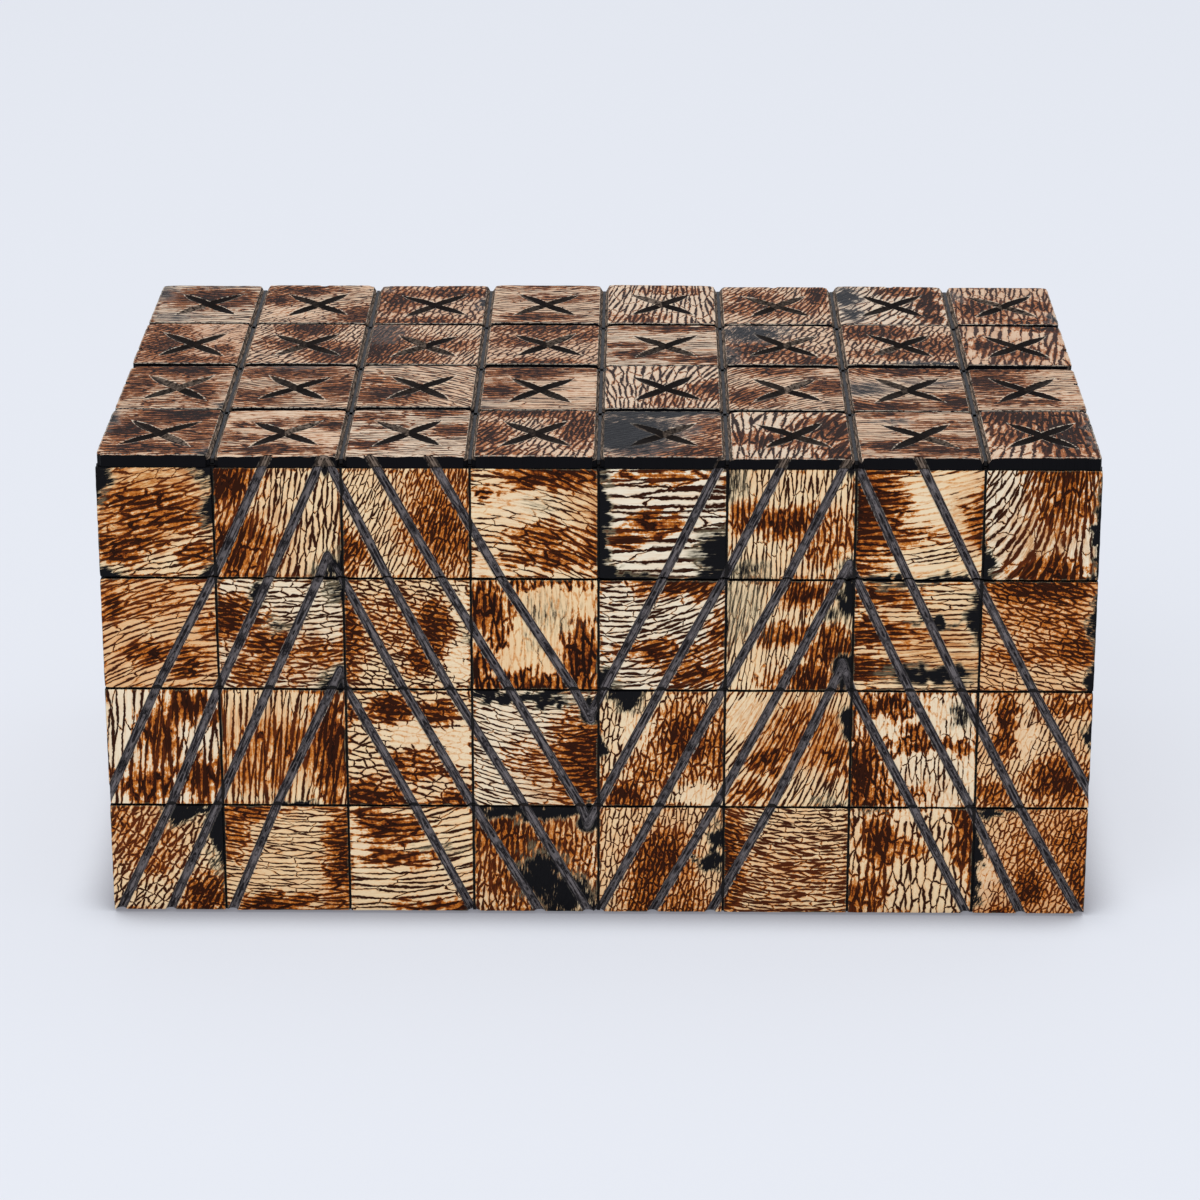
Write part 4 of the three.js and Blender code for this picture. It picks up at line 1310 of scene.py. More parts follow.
    def skirt(self, tile: TopTile, xy: Array, z: Array, rim: Array) -> tuple[Array, Array, Array]:
        """The tile's sides, from its rim down, with the walls' grooves running on through the outer ones.

        Args:
            tile: The tile.
            xy: Places of the rim's points.
            z: Their heights.
            rim: The rim before it was worn, which says what side a point is on.

        Returns:
            Places, heights and cut marks, a row for each level.
        """
        left, right, low, high = tile.edge.values()
        rows = []
        for fraction in self.skirt_shares:
            place, level = [xy[:, 0], xy[:, 1]], z * fraction + self.foot * (1 - fraction)
            share = np.full(len(level), UNTOUCHED)
            for side, grooves, axis, turn in tile.outer:
                edge, across, sign = tile.edge[side], 1 - axis, 1 if side in ("low", "left") else -1
                on_side = np.abs(rim[:, across] - edge) < 1e-6
                base = place[axis]
                for groove in grooves:
                    if groove.meets_top():
                        middle = groove.top_middle()
                        shift = groove.middle(TOP_OF_WALLS + level) - middle
                        window = 1 - smoothstep(1.4, 2.8, np.abs(turn * base - middle) / groove.half_width)
                        base = np.where(on_side, base + turn * shift * window, base)
                bite_above, _ = groove_bite(grooves, turn * xy[:, axis], np.full(len(level), BOX_HEIGHT))
                worn = np.clip(sign * (xy[:, across] - edge) - bite_above, 0, None)
                bite, nearest = groove_bite(grooves, turn * base, TOP_OF_WALLS + level)
                ends = (low, high) if axis else (left, right)
                place[axis] = np.where(on_side, np.clip(base, *ends), place[axis])
                place[across] = np.where(on_side, edge + sign * (bite + 0.85 * worn), place[across])
                share = np.where(on_side, np.minimum(nearest, share), share)
            rows.append(np.stack([*place, level, share, level, np.full(len(level), 0.3)], -1))
        grid = np.stack(rows)
        return grid[..., :2], grid[..., 2], grid[..., 3:]


# Inside and underneath


@dataclass(frozen=True)
class FeltTray:
    """A felt lining: a box with round corners, open at the top or the bottom, folded from one sheet.

    Its surface has two parameters, round the tray and along its section. The section runs from the middle
    of the outside of its floor, out and up the outside, over its edge, and down and in to the middle again.
    """

    node: str
    rests_on: tuple[str, ...]
    closed: float
    open: float
    flat: Point
    area: float | None = None
    body: str = "base"
    half_width: float = 91.7
    half_depth: float = 53.6
    thickness: float = 1.0
    corner: float = 2.2
    fillet: float = 2.4
    step: float = 2.6
    unevenness: float = 0.12
    form: str = "felt"

    def ring(self, inset: Array) -> Array:
        """Rectangles with round corners; a corner's radius shrinks with the inset.

        Args:
            inset: How far each is inside the outline.

        Returns:
            Their points, a row for each.
        """
        turns = np.radians(np.linspace(0, 90, 7))
        counts = [math.ceil(2 * half / self.step) for half in (self.half_width, self.half_depth)]
        radius = np.maximum(self.corner - inset, 0.35)[:, None]
        corners = []
        for index, (sx, sy) in enumerate(((1, -1), (1, 1), (-1, 1), (-1, -1))):
            angle = turns + math.radians(-90 + 90 * index)
            hub_x = sx * (self.half_width - inset[:, None] - radius)
            hub_y = sy * (self.half_depth - inset[:, None] - radius)
            corners.append(np.stack([hub_x + radius * np.cos(angle), hub_y + radius * np.sin(angle)], -1))
        parts = []
        for index, corner in enumerate(corners):
            start, end, count = corner[:, -1:], corners[(index + 1) % 4][:, :1], counts[(index + 1) % 2]
            share = (np.arange(1, count) / count)[None, :, None]
            parts += [corner, start + (end - start) * share]
        return np.concatenate(parts, 1)

    def section(self) -> Pair:
        """The section: straight floors and walls, quarter circles in the folds, half a circle on the edge.

        Returns:
            Insets and levels, the latter from the closed side's outside.
        """
        height, thick = abs(self.open - self.closed), self.thickness
        walls = np.linspace(self.fillet, height - thick / 2, math.ceil(height / self.step))
        turns = np.radians(np.linspace(0, 90, 6))
        bend = self.fillet * (1 - np.sin(turns)), self.fillet * (1 - np.cos(turns))
        inner = self.fillet - thick / 2
        floor = np.linspace(self.half_depth - 0.4, self.fillet + self.step, math.ceil(self.half_depth / 4))
        lip = np.linspace(0, math.pi, 7)
        insets = [floor, bend[0], np.zeros(len(walls) - 1), thick / 2 * (1 - np.cos(lip)),
                  np.full(len(walls) - 1, thick), (thick + inner * (1 - np.cos(turns))), floor[::-1]]
        levels = [0 * floor, bend[1], walls[1:], height - thick / 2 + thick / 2 * np.sin(lip),
                  walls[-2::-1], thick + inner * (1 - np.sin(turns)), np.full(len(floor), thick)]
        return np.concatenate(insets), np.concatenate(levels)

    def build(self, finish: Material) -> Piece:
        """Builds the piece in place of its CAD node, with its floor a little uneven away from the walls.

        Args:
            finish: The felt.

        Returns:
            The piece.
        """
        inset, level = self.section()
        ring = self.ring(inset)
        turn = 1 if self.open > self.closed else -1
        fade = 1 - (inset / self.half_depth) ** 6
        uneven = self.unevenness * fade[:, None] * (1 + ripple(ring[..., 0] + 1.3 * ring[..., 1], 3.0, 31.0))
        inside = (np.arange(len(inset)) > len(inset) * 0.55)[:, None] * uneven
        heights = (self.closed + turn * level)[:, None] + turn * inside * (level[:, None] < self.fillet)
        grid = np.concatenate([ring, heights[..., None]], -1)
        ends = np.array([[0, 0, self.closed], [0, 0, self.closed + turn * self.thickness]])
        caps = ends[:, None].repeat(grid.shape[1], 1)
        rings = np.concatenate([caps[:1], grid, caps[1:]])[::turn]
        skin = Skin()
        skin.add(rings.reshape(-1, 3), lattice(*rings.shape[:2], wrap=True), {})
        piece = skin.make(f"{self.node}_{self.form}", [finish], sharp=50)
        stand_for(piece, self.node, self.body)
        return piece


@dataclass(frozen=True)
class FeltFoot(FeltTray):
    """The felt under the box: a flat sheet with round corners, rounded off over its edge's width."""

    half_width: float = 95.8
    half_depth: float = 57.7
    thickness: float = 0.95
    corner: float = 3.0
    unevenness: float = 0.0
    form: str = "sheet"
    edge: float = 0.3

    def section(self) -> Pair:
        """The section: two flat faces, and half an ellipse round the edge.

        Returns:
            Insets and levels.
        """
        turns = np.radians(np.linspace(0, 180, 9))
        field_insets = np.linspace(self.half_depth - 0.4, self.edge + 2, 14)
        bulge = self.thickness / 2 * (1 - np.cos(turns))
        return (np.concatenate([field_insets, self.edge * (1 - np.sin(turns)), field_insets[::-1]]),
                np.concatenate([0 * field_insets, bulge, 0 * field_insets + self.thickness]))


# Finishes


class Wire:
    """A value in a material, on which sums and products add Math nodes."""

    def __init__(self, desk: "Desk", socket: bpy.types.NodeSocket) -> None:
        """Wraps a socket."""
        self.desk = desk
        self.socket = socket

    def math(self, operation: str, *others: "Wire | float", first: "Wire | float | None" = None) -> "Wire":
        """The result of a Math node on this value and others."""
        values = [self if first is None else first, *others]
        return self.desk.value("ShaderNodeMath", {"operation": operation}, dict(enumerate(values)))

    def __add__(self, other: "Wire | float") -> "Wire":
        """Sum."""
        return self.math("ADD", other)

    __radd__ = __add__

    def __sub__(self, other: "Wire | float") -> "Wire":
        """Difference."""
        return self.math("SUBTRACT", other)

    def __rsub__(self, other: float) -> "Wire":
        """Difference from a number."""
        return self.math("SUBTRACT", self, first=other)

    def __mul__(self, other: "Wire | float") -> "Wire":
        """Product."""
        return self.math("MULTIPLY", other)

    __rmul__ = __mul__

    def __truediv__(self, other: "Wire | float") -> "Wire":
        """Quotient."""
        return self.math("DIVIDE", other)

    def or_more(self, other: "Wire | float") -> "Wire":
        """The larger of two."""
        return self.math("MAXIMUM", other)

    def or_less(self, other: "Wire | float") -> "Wire":
        """The smaller of two."""
        return self.math("MINIMUM", other)

    def curve(self, low: "Wire | float", high: "Wire | float", start: float, end: float) -> "Wire":
        """An S curve from start, where this is low, to end, where it is high."""
        inputs = {"Value": self, "From Min": low, "From Max": high, "To Min": start, "To Max": end}
        return self.desk.value("ShaderNodeMapRange", {"interpolation_type": "SMOOTHSTEP"}, inputs)

    def rise(self, low: "Wire | float", high: "Wire | float") -> "Wire":
        """0 below low and 1 above high, with an S curve between them."""
        return self.curve(low, high, 0.0, 1.0)

    def fall(self, low: "Wire | float", high: "Wire | float") -> "Wire":
        """1 below low and 0 above high, with an S curve between them."""
        return self.curve(low, high, 1.0, 0.0)


class Desk:
    """The nodes of one material, or of the world."""

    def __init__(self, owner: Material | bpy.types.World) -> None:
        """Starts it with an empty tree.

        Args:
            owner: The material or the world.
        """
        self.owner = owner
        self.owner.use_nodes = True
        self.tree = self.owner.node_tree
        self.tree.nodes.clear()

    def node(
        self, kind: str, settings: Settings | None = None, inputs: Inputs | None = None
    ) -> bpy.types.Node:
        """Adds a node.

        Args:
            kind: Its type.
            settings: Its own properties, set first; stops are a ramp's places and colours.
            inputs: Values or wires for its sockets, by name or number.

        Returns:
            The node.
        """
        node = self.tree.nodes.new(kind)
        for key, setting in (settings or {}).items():
            if key == "stops":
                while len(node.color_ramp.elements) < len(setting):
                    node.color_ramp.elements.new(1)
                for element, (place, colour) in zip(node.color_ramp.elements, setting):
                    element.position, element.color = place, (*colour, 1)
            else:
                setattr(node, key, setting)
        for key, value in (inputs or {}).items():
            if isinstance(value, Wire):
                self.tree.links.new(value.socket, node.inputs[key])
            elif isinstance(value, tuple) and len(value) == 3 and len(node.inputs[key].default_value) == 4:
                node.inputs[key].default_value = (*value, 1)
            else:
                node.inputs[key].default_value = value
        return node

    def value(self, kind: str, settings: Settings, inputs: Inputs, output: int | str = 0) -> Wire:
        """Adds a node and gives one of its outputs."""
        return Wire(self, self.node(kind, settings, inputs).outputs[output])

    def mark(self, name: str) -> tuple[Wire, Wire, Wire]:
        """The three values of a mark on the mesh."""
        return self.parts(self.value("ShaderNodeAttribute", {"attribute_name": name}, {}, "Vector"))

    def parts(self, vector: Wire) -> tuple[Wire, Wire, Wire]:
        """The three parts of a vector."""
        split = self.node("ShaderNodeSeparateXYZ", {}, {0: vector})
        return tuple(Wire(self, output) for output in split.outputs)

    def vector(self, *parts: Wire | float) -> Wire:
        """A vector from three parts."""
        return self.value("ShaderNodeCombineXYZ", {}, dict(enumerate(parts)))

    def combine(self, operation: str, *vectors: Wire | Triple) -> Wire:
        """The result of a Vector Math node on vectors."""
        return self.value("ShaderNodeVectorMath", {"operation": operation}, dict(enumerate(vectors)))

    def here(self) -> Wire:
        """The place on the object in millimetres."""
        place = self.value("ShaderNodeTexCoord", {}, {}, "Object")
        return self.value("ShaderNodeVectorMath", {"operation": "SCALE"}, {0: place, "Scale": 1 / MILLIMETRE})

    def noise(self, at: Wire, scale: float, detail: float = 2.0, rough: float = 0.5) -> Wire:
        """Noise from 0 to 1."""
        inputs = {"Vector": at, "Scale": scale, "Detail": detail, "Roughness": rough}
        return self.value("ShaderNodeTexNoise", {}, inputs)

    def shift(
        self, at: Wire, scale: float, amount: Triple, detail: float = 2.0, source: Wire | None = None
    ) -> Wire:
        """Moves a place about by noise.

        Args:
            at: The place.
            scale: Scale of the noise.
            amount: How far it moves things.
            detail: Detail of the noise.
            source: Where it is read, if not at the place itself.

        Returns:
            The new place.
        """
        inputs = {"Vector": source or at, "Scale": scale, "Detail": detail}
        waver = self.value("ShaderNodeTexNoise", {}, inputs, "Color")
        centred = self.combine("SUBTRACT", waver, (0.5, 0.5, 0.5))
        return self.combine("MULTIPLY_ADD", centred, amount, at)

    def mix(
        self, share: Wire | float, under: Wire | Colour, over: Wire | Colour, blend: str = "MIX"
    ) -> Wire:
        """Two colours mixed."""
        settings = {"data_type": "RGBA", "blend_type": blend}
        return self.value("ShaderNodeMix", settings, {0: share, 6: under, 7: over}, 2)

    def finish(
        self, colour: Wire, rough: Wire | float, height: Wire, depth: float, **more: object
    ) -> Material:
        """Joins the nodes to a surface.

        Args:
            colour: Its colour.
            rough: Its roughness.
            height: Height for its bump, from 0 to 1.
            depth: How far a height of 1 stands up, in millimetres.
            more: Other sockets of the shader, with spaces as underscores.

        Returns:
            The material.
        """
        bump = {"Height": height, "Distance": depth * MILLIMETRE, "Strength": 1.0}
        inputs = {"Base Color": colour, "Roughness": rough, "Normal": self.value("ShaderNodeBump", {}, bump)}
        inputs.update({key.replace("_", " "): value for key, value in more.items()})
        self.node("ShaderNodeOutputMaterial", {}, {0: self.value("ShaderNodeBsdfPrincipled", {}, inputs)})
        return self.owner


class BoneDesk(Desk):
    """The nodes of scorched bone, with the marks on its mesh and the noises that break them up.

    Grain is the place in cells, along and across the crackle. Ragged noise and grit are fast, broad noise
    is slow, and streaks are drawn out along the grain.
    """

    def __init__(self, owner: Material) -> None:
        """Reads the marks and adds the noises.

        Args:
            owner: The material.
        """
        super().__init__(owner)
        along, across, _ = self.mark("grain")
        self.burnt, self.cracked, self.gilt = self.mark("scorch")
        self.sooty, self.clean, self.warm = self.mark("stain")
        self.net, self.edge_away, self.bold = self.mark("form")
        # The cut's third value is 0 outside a cross and 1 plus the facet's painted lightness inside one
        self.share, self.length, self.crossed = self.mark("cut")
        self.place = self.here()
        self.grain = self.vector(along, across, 0.0)
        self.ragged = self.noise(self.grain, 1.0, 5.0, 0.7)
        self.broad = self.noise(self.grain, 0.3, 2.0, 0.5)
        self.streaks = self.noise(self.vector(along * 1.3, across * 3.6, 0.0), 1.0, 5.0, 0.7)
        self.grit = self.noise(self.vector(along * 4.0, across * 3.0, 3.0), 1.2, 4.0, 0.75)


@dataclass(frozen=True)
class ScorchedBone:
    """Bone that was scorched and polished: crackle, burnt patches, smoke and gouged channels, with painted
    shade and highlights on the cuts.
    """

    name: str
    pale: Colour = srgb(243, 217, 174)
    peach: Colour = srgb(226, 174, 122)
    # Whiter bone on cool tiles, and the colour of the painted highlights on lips and rims
    white: Colour = srgb(238, 232, 216)
    glow: Colour = srgb(234, 174, 92)
    orange: Colour = srgb(204, 126, 46)
    ember: Colour = srgb(100, 43, 12)
    rust: Colour = srgb(158, 80, 24)
    char: Colour = srgb(32, 12, 4)
    soot: Colour = srgb(15, 15, 18)
    smoke: Colour = srgb(148, 138, 110)
    golden: Colour = srgb(222, 166, 74)
    umber: Colour = srgb(176, 118, 40)
    gouged: Colour = srgb(126, 120, 122)
    # Dark end of the gouged colour: the fibres' dark streaks, and painted shade at the channels' walls and on
    # the cross's darker facets
    gouged_dark: Colour = srgb(34, 32, 35)
    # Strength of the painted highlight that whitens the lips beside the cuts
    lip: float = 0.45
    gloss: float = 0.06
    fire: float = 0.0
    thick: float = 1.0
    # Strength of the painted highlight along a tile's rounded rim, 0 for none
    rim: float = 0.0
    worn: float = 0.0
    gritty: float = 1.2

    def make(self) -> Material:
        """Builds the material: bone, burnt patches and cracks in it, smoke over them, and the cuts.

        Returns:
            The material.
        """
        desk = BoneDesk(bpy.data.materials.new(self.name))
        colour, burn, line = self.burnt(desk, self.bare(desk))
        colour, black = self.smoked(desk, colour)
        colour, inside, fibre = self.carved(desk, colour, black)
        charred = burn.rise(0.5, 0.9)
        rough = 0.42 - black * 0.12 + (desk.ragged - 0.5) * 0.2 + charred * 0.1
        rough = rough * (1 - inside) + inside * 0.75
        height = 1 - line * 0.55 - charred * 0.3 + inside * (fibre - 0.5) * 1.6
        return desk.finish(colour, rough, height, 0.1, Specular_IOR_Level=self.gloss)

    def bare(self, desk: BoneDesk) -> Wire:
        """The colour before the fire: pale to peach, whiter on cool tiles, and golden where it was warmed.

        Args:
            desk: The material's nodes.

        Returns:
            The colour.
        """
        cloudy = desk.noise(desk.place, 0.13, 2.0, 0.5)
        peachy = (desk.warm * 0.8 + (cloudy - 0.5) * 0.8 + (desk.streaks - 0.5) * 0.5).rise(0.0, 1.0)
        colour = desk.mix(peachy, self.pale, self.peach)
        whiteness = (1 - desk.warm * 3.0).or_more(0.0) * 0.7 + desk.clean * 0.2
        colour = desk.mix(whiteness.or_less(1.0), colour, self.white)
        toned = desk.streaks.rise(0.5, 0.66) * 0.3 + desk.grit.rise(0.5, 0.7) * 0.2
        colour = desk.mix(toned, colour, self.peach, "MULTIPLY")
        gild = desk.gilt * ((desk.streaks - 0.5) * 1.2 + (desk.ragged - 0.5) * 1.4 + 0.55).rise(0.2, 0.7)
        colour = desk.mix(gild * 0.9, colour, self.golden, "MULTIPLY")
        brown = gild * (desk.streaks * 0.6 + desk.ragged * 0.4).rise(0.48, 0.6) * 0.85
        return desk.mix(brown, colour, self.umber, "MULTIPLY")

    def burnt(self, desk: BoneDesk, bare: Wire) -> tuple[Wire, Wire, Wire]:
        """Burns patches into the bone and draws the cracks with the halo beside them.

        Args:
            desk: The material's nodes.
            bare: The colour before the fire.

        Returns:
            The colour, how burnt it is, and the cracks.
        """
        rim_heat = desk.edge_away.fall(0.0, 1.3) * desk.broad.rise(0.4, 0.6)
        heat = desk.burnt + rim_heat * 0.35 + (desk.ragged - 0.5) * 1.3 + (desk.streaks - 0.5) * 1.5
        heat = (heat + self.fire - 0.04) * (desk.burnt + rim_heat * 0.5 + self.fire).rise(0.0, 0.25)
        near_fire = desk.burnt * 1.7 + desk.gilt * 0.6 + rim_heat * 0.5 + desk.warm * 0.5 + self.fire
        near_fire = near_fire.or_less(1.0)
        line, halo, away = self.crackle(desk, heat)
        glowing = desk.mix(0.85, bare, self.glow, "MULTIPLY")
        colour = desk.mix(halo * (0.14 + 0.62 * near_fire), bare, glowing)
        spots = desk.noise(desk.place, 1.05, 4.0, 0.7)
        texture = (desk.grit - 0.5) * self.gritty + (spots - 0.5) * 1.5 + away.fall(0.02, 0.4) * 0.8 - 0.12
        burn = heat + texture * heat.rise(-0.1, 0.2)
        shades = (self.glow, self.orange, self.rust, self.ember, self.char)
        stops = tuple(zip((0.05, 0.33, 0.57, 0.74, 0.93), shades))
        seared = desk.value("ShaderNodeValToRGB", {"stops": stops}, {0: burn})
        seared = desk.mix(burn.fall(0.2, 0.5) * 0.6, seared, desk.mix(1.0, seared, colour, "MULTIPLY"))
        colour = desk.mix(burn.rise(0.04, 0.3), colour, seared)
        inked = desk.mix(near_fire.rise(0.1, 0.9) * heat.fall(0.2, 0.6) * 0.75 + 0.12, self.char, self.ember)
        return desk.mix(line, colour, inked), burn, line

    def crackle(self, desk: BoneDesk, heat: Wire) -> tuple[Wire, Wire, Wire]:
        """The cracks and the scorched halo beside them.

        They follow the borders of cells that are drawn out along the grain. The distance to a border is
        divided by how fast it grows, measured a small step along the grain, so that a crack across the grain
        is no wider than one along it.

        Args:
            desk: The material's nodes.
            heat: How burnt the bone is.

        Returns:
            The cracks, the halo and how far away a crack is, in cells.
        """
        step = 0.03
        waved = desk.shift(desk.combine("MULTIPLY", desk.grain, (0.72, 1.0, 0.0)), 0.5, (0.7, 0.9, 0.0))
        warped = desk.shift(waved, 1.0, (0.12, 0.42, 0.0), 3.0, desk.place)
        ahead = desk.combine("ADD", warped, (step, 0.0, 0.0))
        near, beyond = (
            desk.value("ShaderNodeTexVoronoi", {"voronoi_dimensions": "2D", "feature": "DISTANCE_TO_EDGE"},
                       {"Vector": place, "Scale": 1.0, "Randomness": 0.95}, "Distance")
            for place in (warped, ahead)
        )
        slope = ((beyond - near) / step).or_less(1.0).or_more(-1.0)
        lengthwise = 1 - slope * slope * 0.93
        away = near / lengthwise.math("SQRT") + (desk.grit - 0.5) * 0.16
        linked = desk.net + (1 - desk.net) * lengthwise.rise(0.12, 0.5)
        flame = desk.noise(desk.vector(*(part * 0.9 for part in desk.parts(waved)[:2]), 0.0), 1.1, 2.0, 0.5)
        presence = desk.cracked * 1.45 - 0.2 + (desk.broad - 0.5) * 2.2 + (desk.ragged - 0.5) * 1.2
        presence = presence.rise(0.0, 0.6)
        width = 0.06 + 0.2 * flame.rise(0.36, 0.62) + 0.13 * desk.ragged.rise(0.4, 0.62)
        width = width * (0.35 + 0.65 * presence) + heat.rise(0.1, 0.9) * 0.14
        width = width * (1 + desk.bold) * self.thick * (0.2 + 0.8 * linked)
        line = away.fall(width * 0.55, width) * presence.rise(0.03, 0.35)
        halo = away.fall(width * 0.8, width + 0.42) * presence * linked.rise(0.0, 0.4)
        return line, halo, away

    def smoked(self, desk: BoneDesk, colour: Wire) -> tuple[Wire, Wire]:
        """Lays smoke and soot over the bone, in its sooty patches and here and there at its rim.

        Args:
            desk: The material's nodes.
            colour: The colour so far.

        Returns:
            The colour, and where it is black.
        """
        rim = desk.edge_away.fall(0.0, 0.6) * (desk.broad - 0.3).rise(0.0, 0.3)
        cloud = desk.sooty * 1.15 + rim * 0.35 + (desk.ragged - 0.5) * 0.9 + (desk.streaks - 0.5) * 2.2
        smoky = cloud.rise(0.1, 0.6) * (desk.sooty + rim * 0.4).rise(0.0, 0.25)
        black = cloud.rise(0.42, 0.7) * (desk.sooty + rim * 0.5).rise(0.1, 0.35)
        return desk.mix(black, desk.mix(smoky * 0.6, colour, self.smoke), self.soot), black

    def carved(self, desk: BoneDesk, colour: Wire, black: Wire) -> tuple[Wire, Wire, Wire]:
        """Colours the channels and the crosses, with painted shade towards the channels' walls, painted light
        and shade on the cross's facets, a painted highlight on their lips and, where it has one, a painted
        highlight along the rounded rim.

        Args:
            desk: The material's nodes.
            colour: The colour so far.
            black: Where soot lies.

        Returns:
            The colour, where the cuts are, and the fibres in them.
        """
        fibre = desk.noise(desk.vector(desk.length * 0.16, desk.share * 2.4, desk.crossed), 1.6, 3.0, 0.75)
        speck = desk.noise(desk.place, 1.3, 3.0, 0.6)
        in_cross, facet = desk.crossed.or_less(1.0), (desk.crossed - 1).or_more(0.0)
        # Painted shade: a channel's colour falls to its dark end from the middle towards the walls, with
        # fibre streaks and specks over it
        tone = (fibre.rise(0.42, 0.6) * 0.95 + (speck - 0.5) * 0.8) * desk.share.fall(0.5, 1.15)
        # Painted light and shade: inside a cross, each facet takes its own lightness
        tone = (tone + self.worn) * (1 - in_cross) + facet * (0.32 + (speck - 0.5) * 2.4)
        wander = desk.share + (speck - 0.5) * 0.16
        inside = wander.fall(0.9, 1.0)
        colour = desk.mix(inside, colour, desk.mix(tone.or_more(0.0), self.gouged_dark, self.gouged))
        # Painted highlight: a pale band along the lip just outside each cut, weaker where soot lies
        beside = wander.rise(0.93, 1.0) * wander.fall(1.03, 1.16 + in_cross * 0.22)
        lip = beside * speck.rise(0.42, 0.6) * (1 - black * 0.8)
        colour = desk.mix(lip * self.lip, colour, self.white)
        if self.rim:
            # Painted highlight along the rounded rim, a band about 0.08 to 0.5 mm in from the tile's edge
            rim_highlight = desk.edge_away.rise(0.08, 0.16) * desk.edge_away.fall(0.25, 0.5) * speck.rise(0.4, 0.55)
            colour = desk.mix(rim_highlight * (1 - inside) * self.rim, colour, self.white)
        return colour, inside, fibre


@dataclass(frozen=True)
class Mastic:
    """Black filler in the joints."""

    dark: Colour = srgb(12, 11, 12)
    light: Colour = srgb(38, 26, 20)

    def make(self) -> Material:
        """Builds the material.

        Returns:
            The material.
        """
        desk = Desk(bpy.data.materials.new("black_mastic"))
        here = desk.here()
        speck = desk.noise(here, 0.9, 4.0, 0.65)
        colour = desk.mix(speck.rise(0.45, 0.8), self.dark, self.light)
        return desk.finish(colour, 0.3 + speck * 0.25, speck, 0.12, Specular_IOR_Level=0.16)


@dataclass(frozen=True)
class Wood:
    """Dark hardwood; its grain runs along X or Y."""

    name: str
    turned: bool = False
    light: Colour = srgb(128, 80, 48)
    dark: Colour = srgb(62, 34, 20)

    def make(self) -> Material:
        """Builds the material: rings stretched along the grain, with short dark pores.

        Returns:
            The material.
        """
        desk = Desk(bpy.data.materials.new(self.name))
        x, y, z = desk.parts(desk.here())
        along, across = (y, x) if self.turned else (x, y)
        grain = desk.shift(desk.vector(along * 0.03, across * 0.5, z * 0.5), 0.9, (0.5, 0.5, 0.5))
        rings = desk.noise(grain, 0.8, 4.0, 0.55)
        pores = desk.noise(desk.vector(along * 0.12, across * 2.2, z * 2.2), 1.3, 2.0, 0.5).rise(0.6, 0.72)
        colour = desk.mix(rings.rise(0.3, 0.7), self.dark, self.light)
        colour = desk.mix(pores * 0.6, colour, self.dark)
        return desk.finish(colour, 0.42 + rings * 0.15, rings - pores, 0.05)


@dataclass(frozen=True)
class Felt:
    """Short felt with a few loose hairs."""

    name: str = "felt_dark_brown"
    deep: Colour = srgb(62, 44, 38)
    raised: Colour = srgb(98, 74, 64)

    def make(self) -> Material:
        """Builds the material: fine tangled fibres over a soft unevenness.

        Returns:
            The material.
        """
        desk = Desk(bpy.data.materials.new(self.name))
        here = desk.here()
        tangle = desk.noise(desk.shift(here, 1.2, (1.4, 1.4, 1.4), 3.0), 3.4, 5.0, 0.7)
        worn = desk.noise(here, 0.05, 3.0, 0.6)
        colour = desk.mix(tangle.rise(0.35, 0.7) * 0.8 + (worn - 0.5) * 0.5, self.deep, self.raised)
        return desk.finish(colour, 0.9 + tangle * 0.08, tangle, 0.18, Sheen_Weight=0.35, Sheen_Roughness=0.5)


@dataclass(frozen=True)
class Brass:
    """Brushed brass, dulled in patches."""

    bright: Colour = srgb(214, 176, 104)
    dull: Colour = srgb(140, 104, 60)

    def make(self) -> Material:
        """Builds the material: fine scratches along X and cloudy tarnish.

        Returns:
            The material.
        """
        desk = Desk(bpy.data.materials.new("brushed_brass"))
        x, y, z = desk.parts(desk.here())
        scratch = desk.noise(desk.vector(x * 0.2, y * 6.0, z * 6.0), 1.0, 3.0, 0.6)
        cloud = desk.noise(desk.here(), 0.35, 4.0, 0.6)
        colour = desk.mix(cloud.rise(0.4, 0.7) * 0.7, self.bright, self.dull)
        return desk.finish(colour, 0.24 + cloud * 0.2 + scratch * 0.1, scratch, 0.015, Metallic=1.0)


# The box


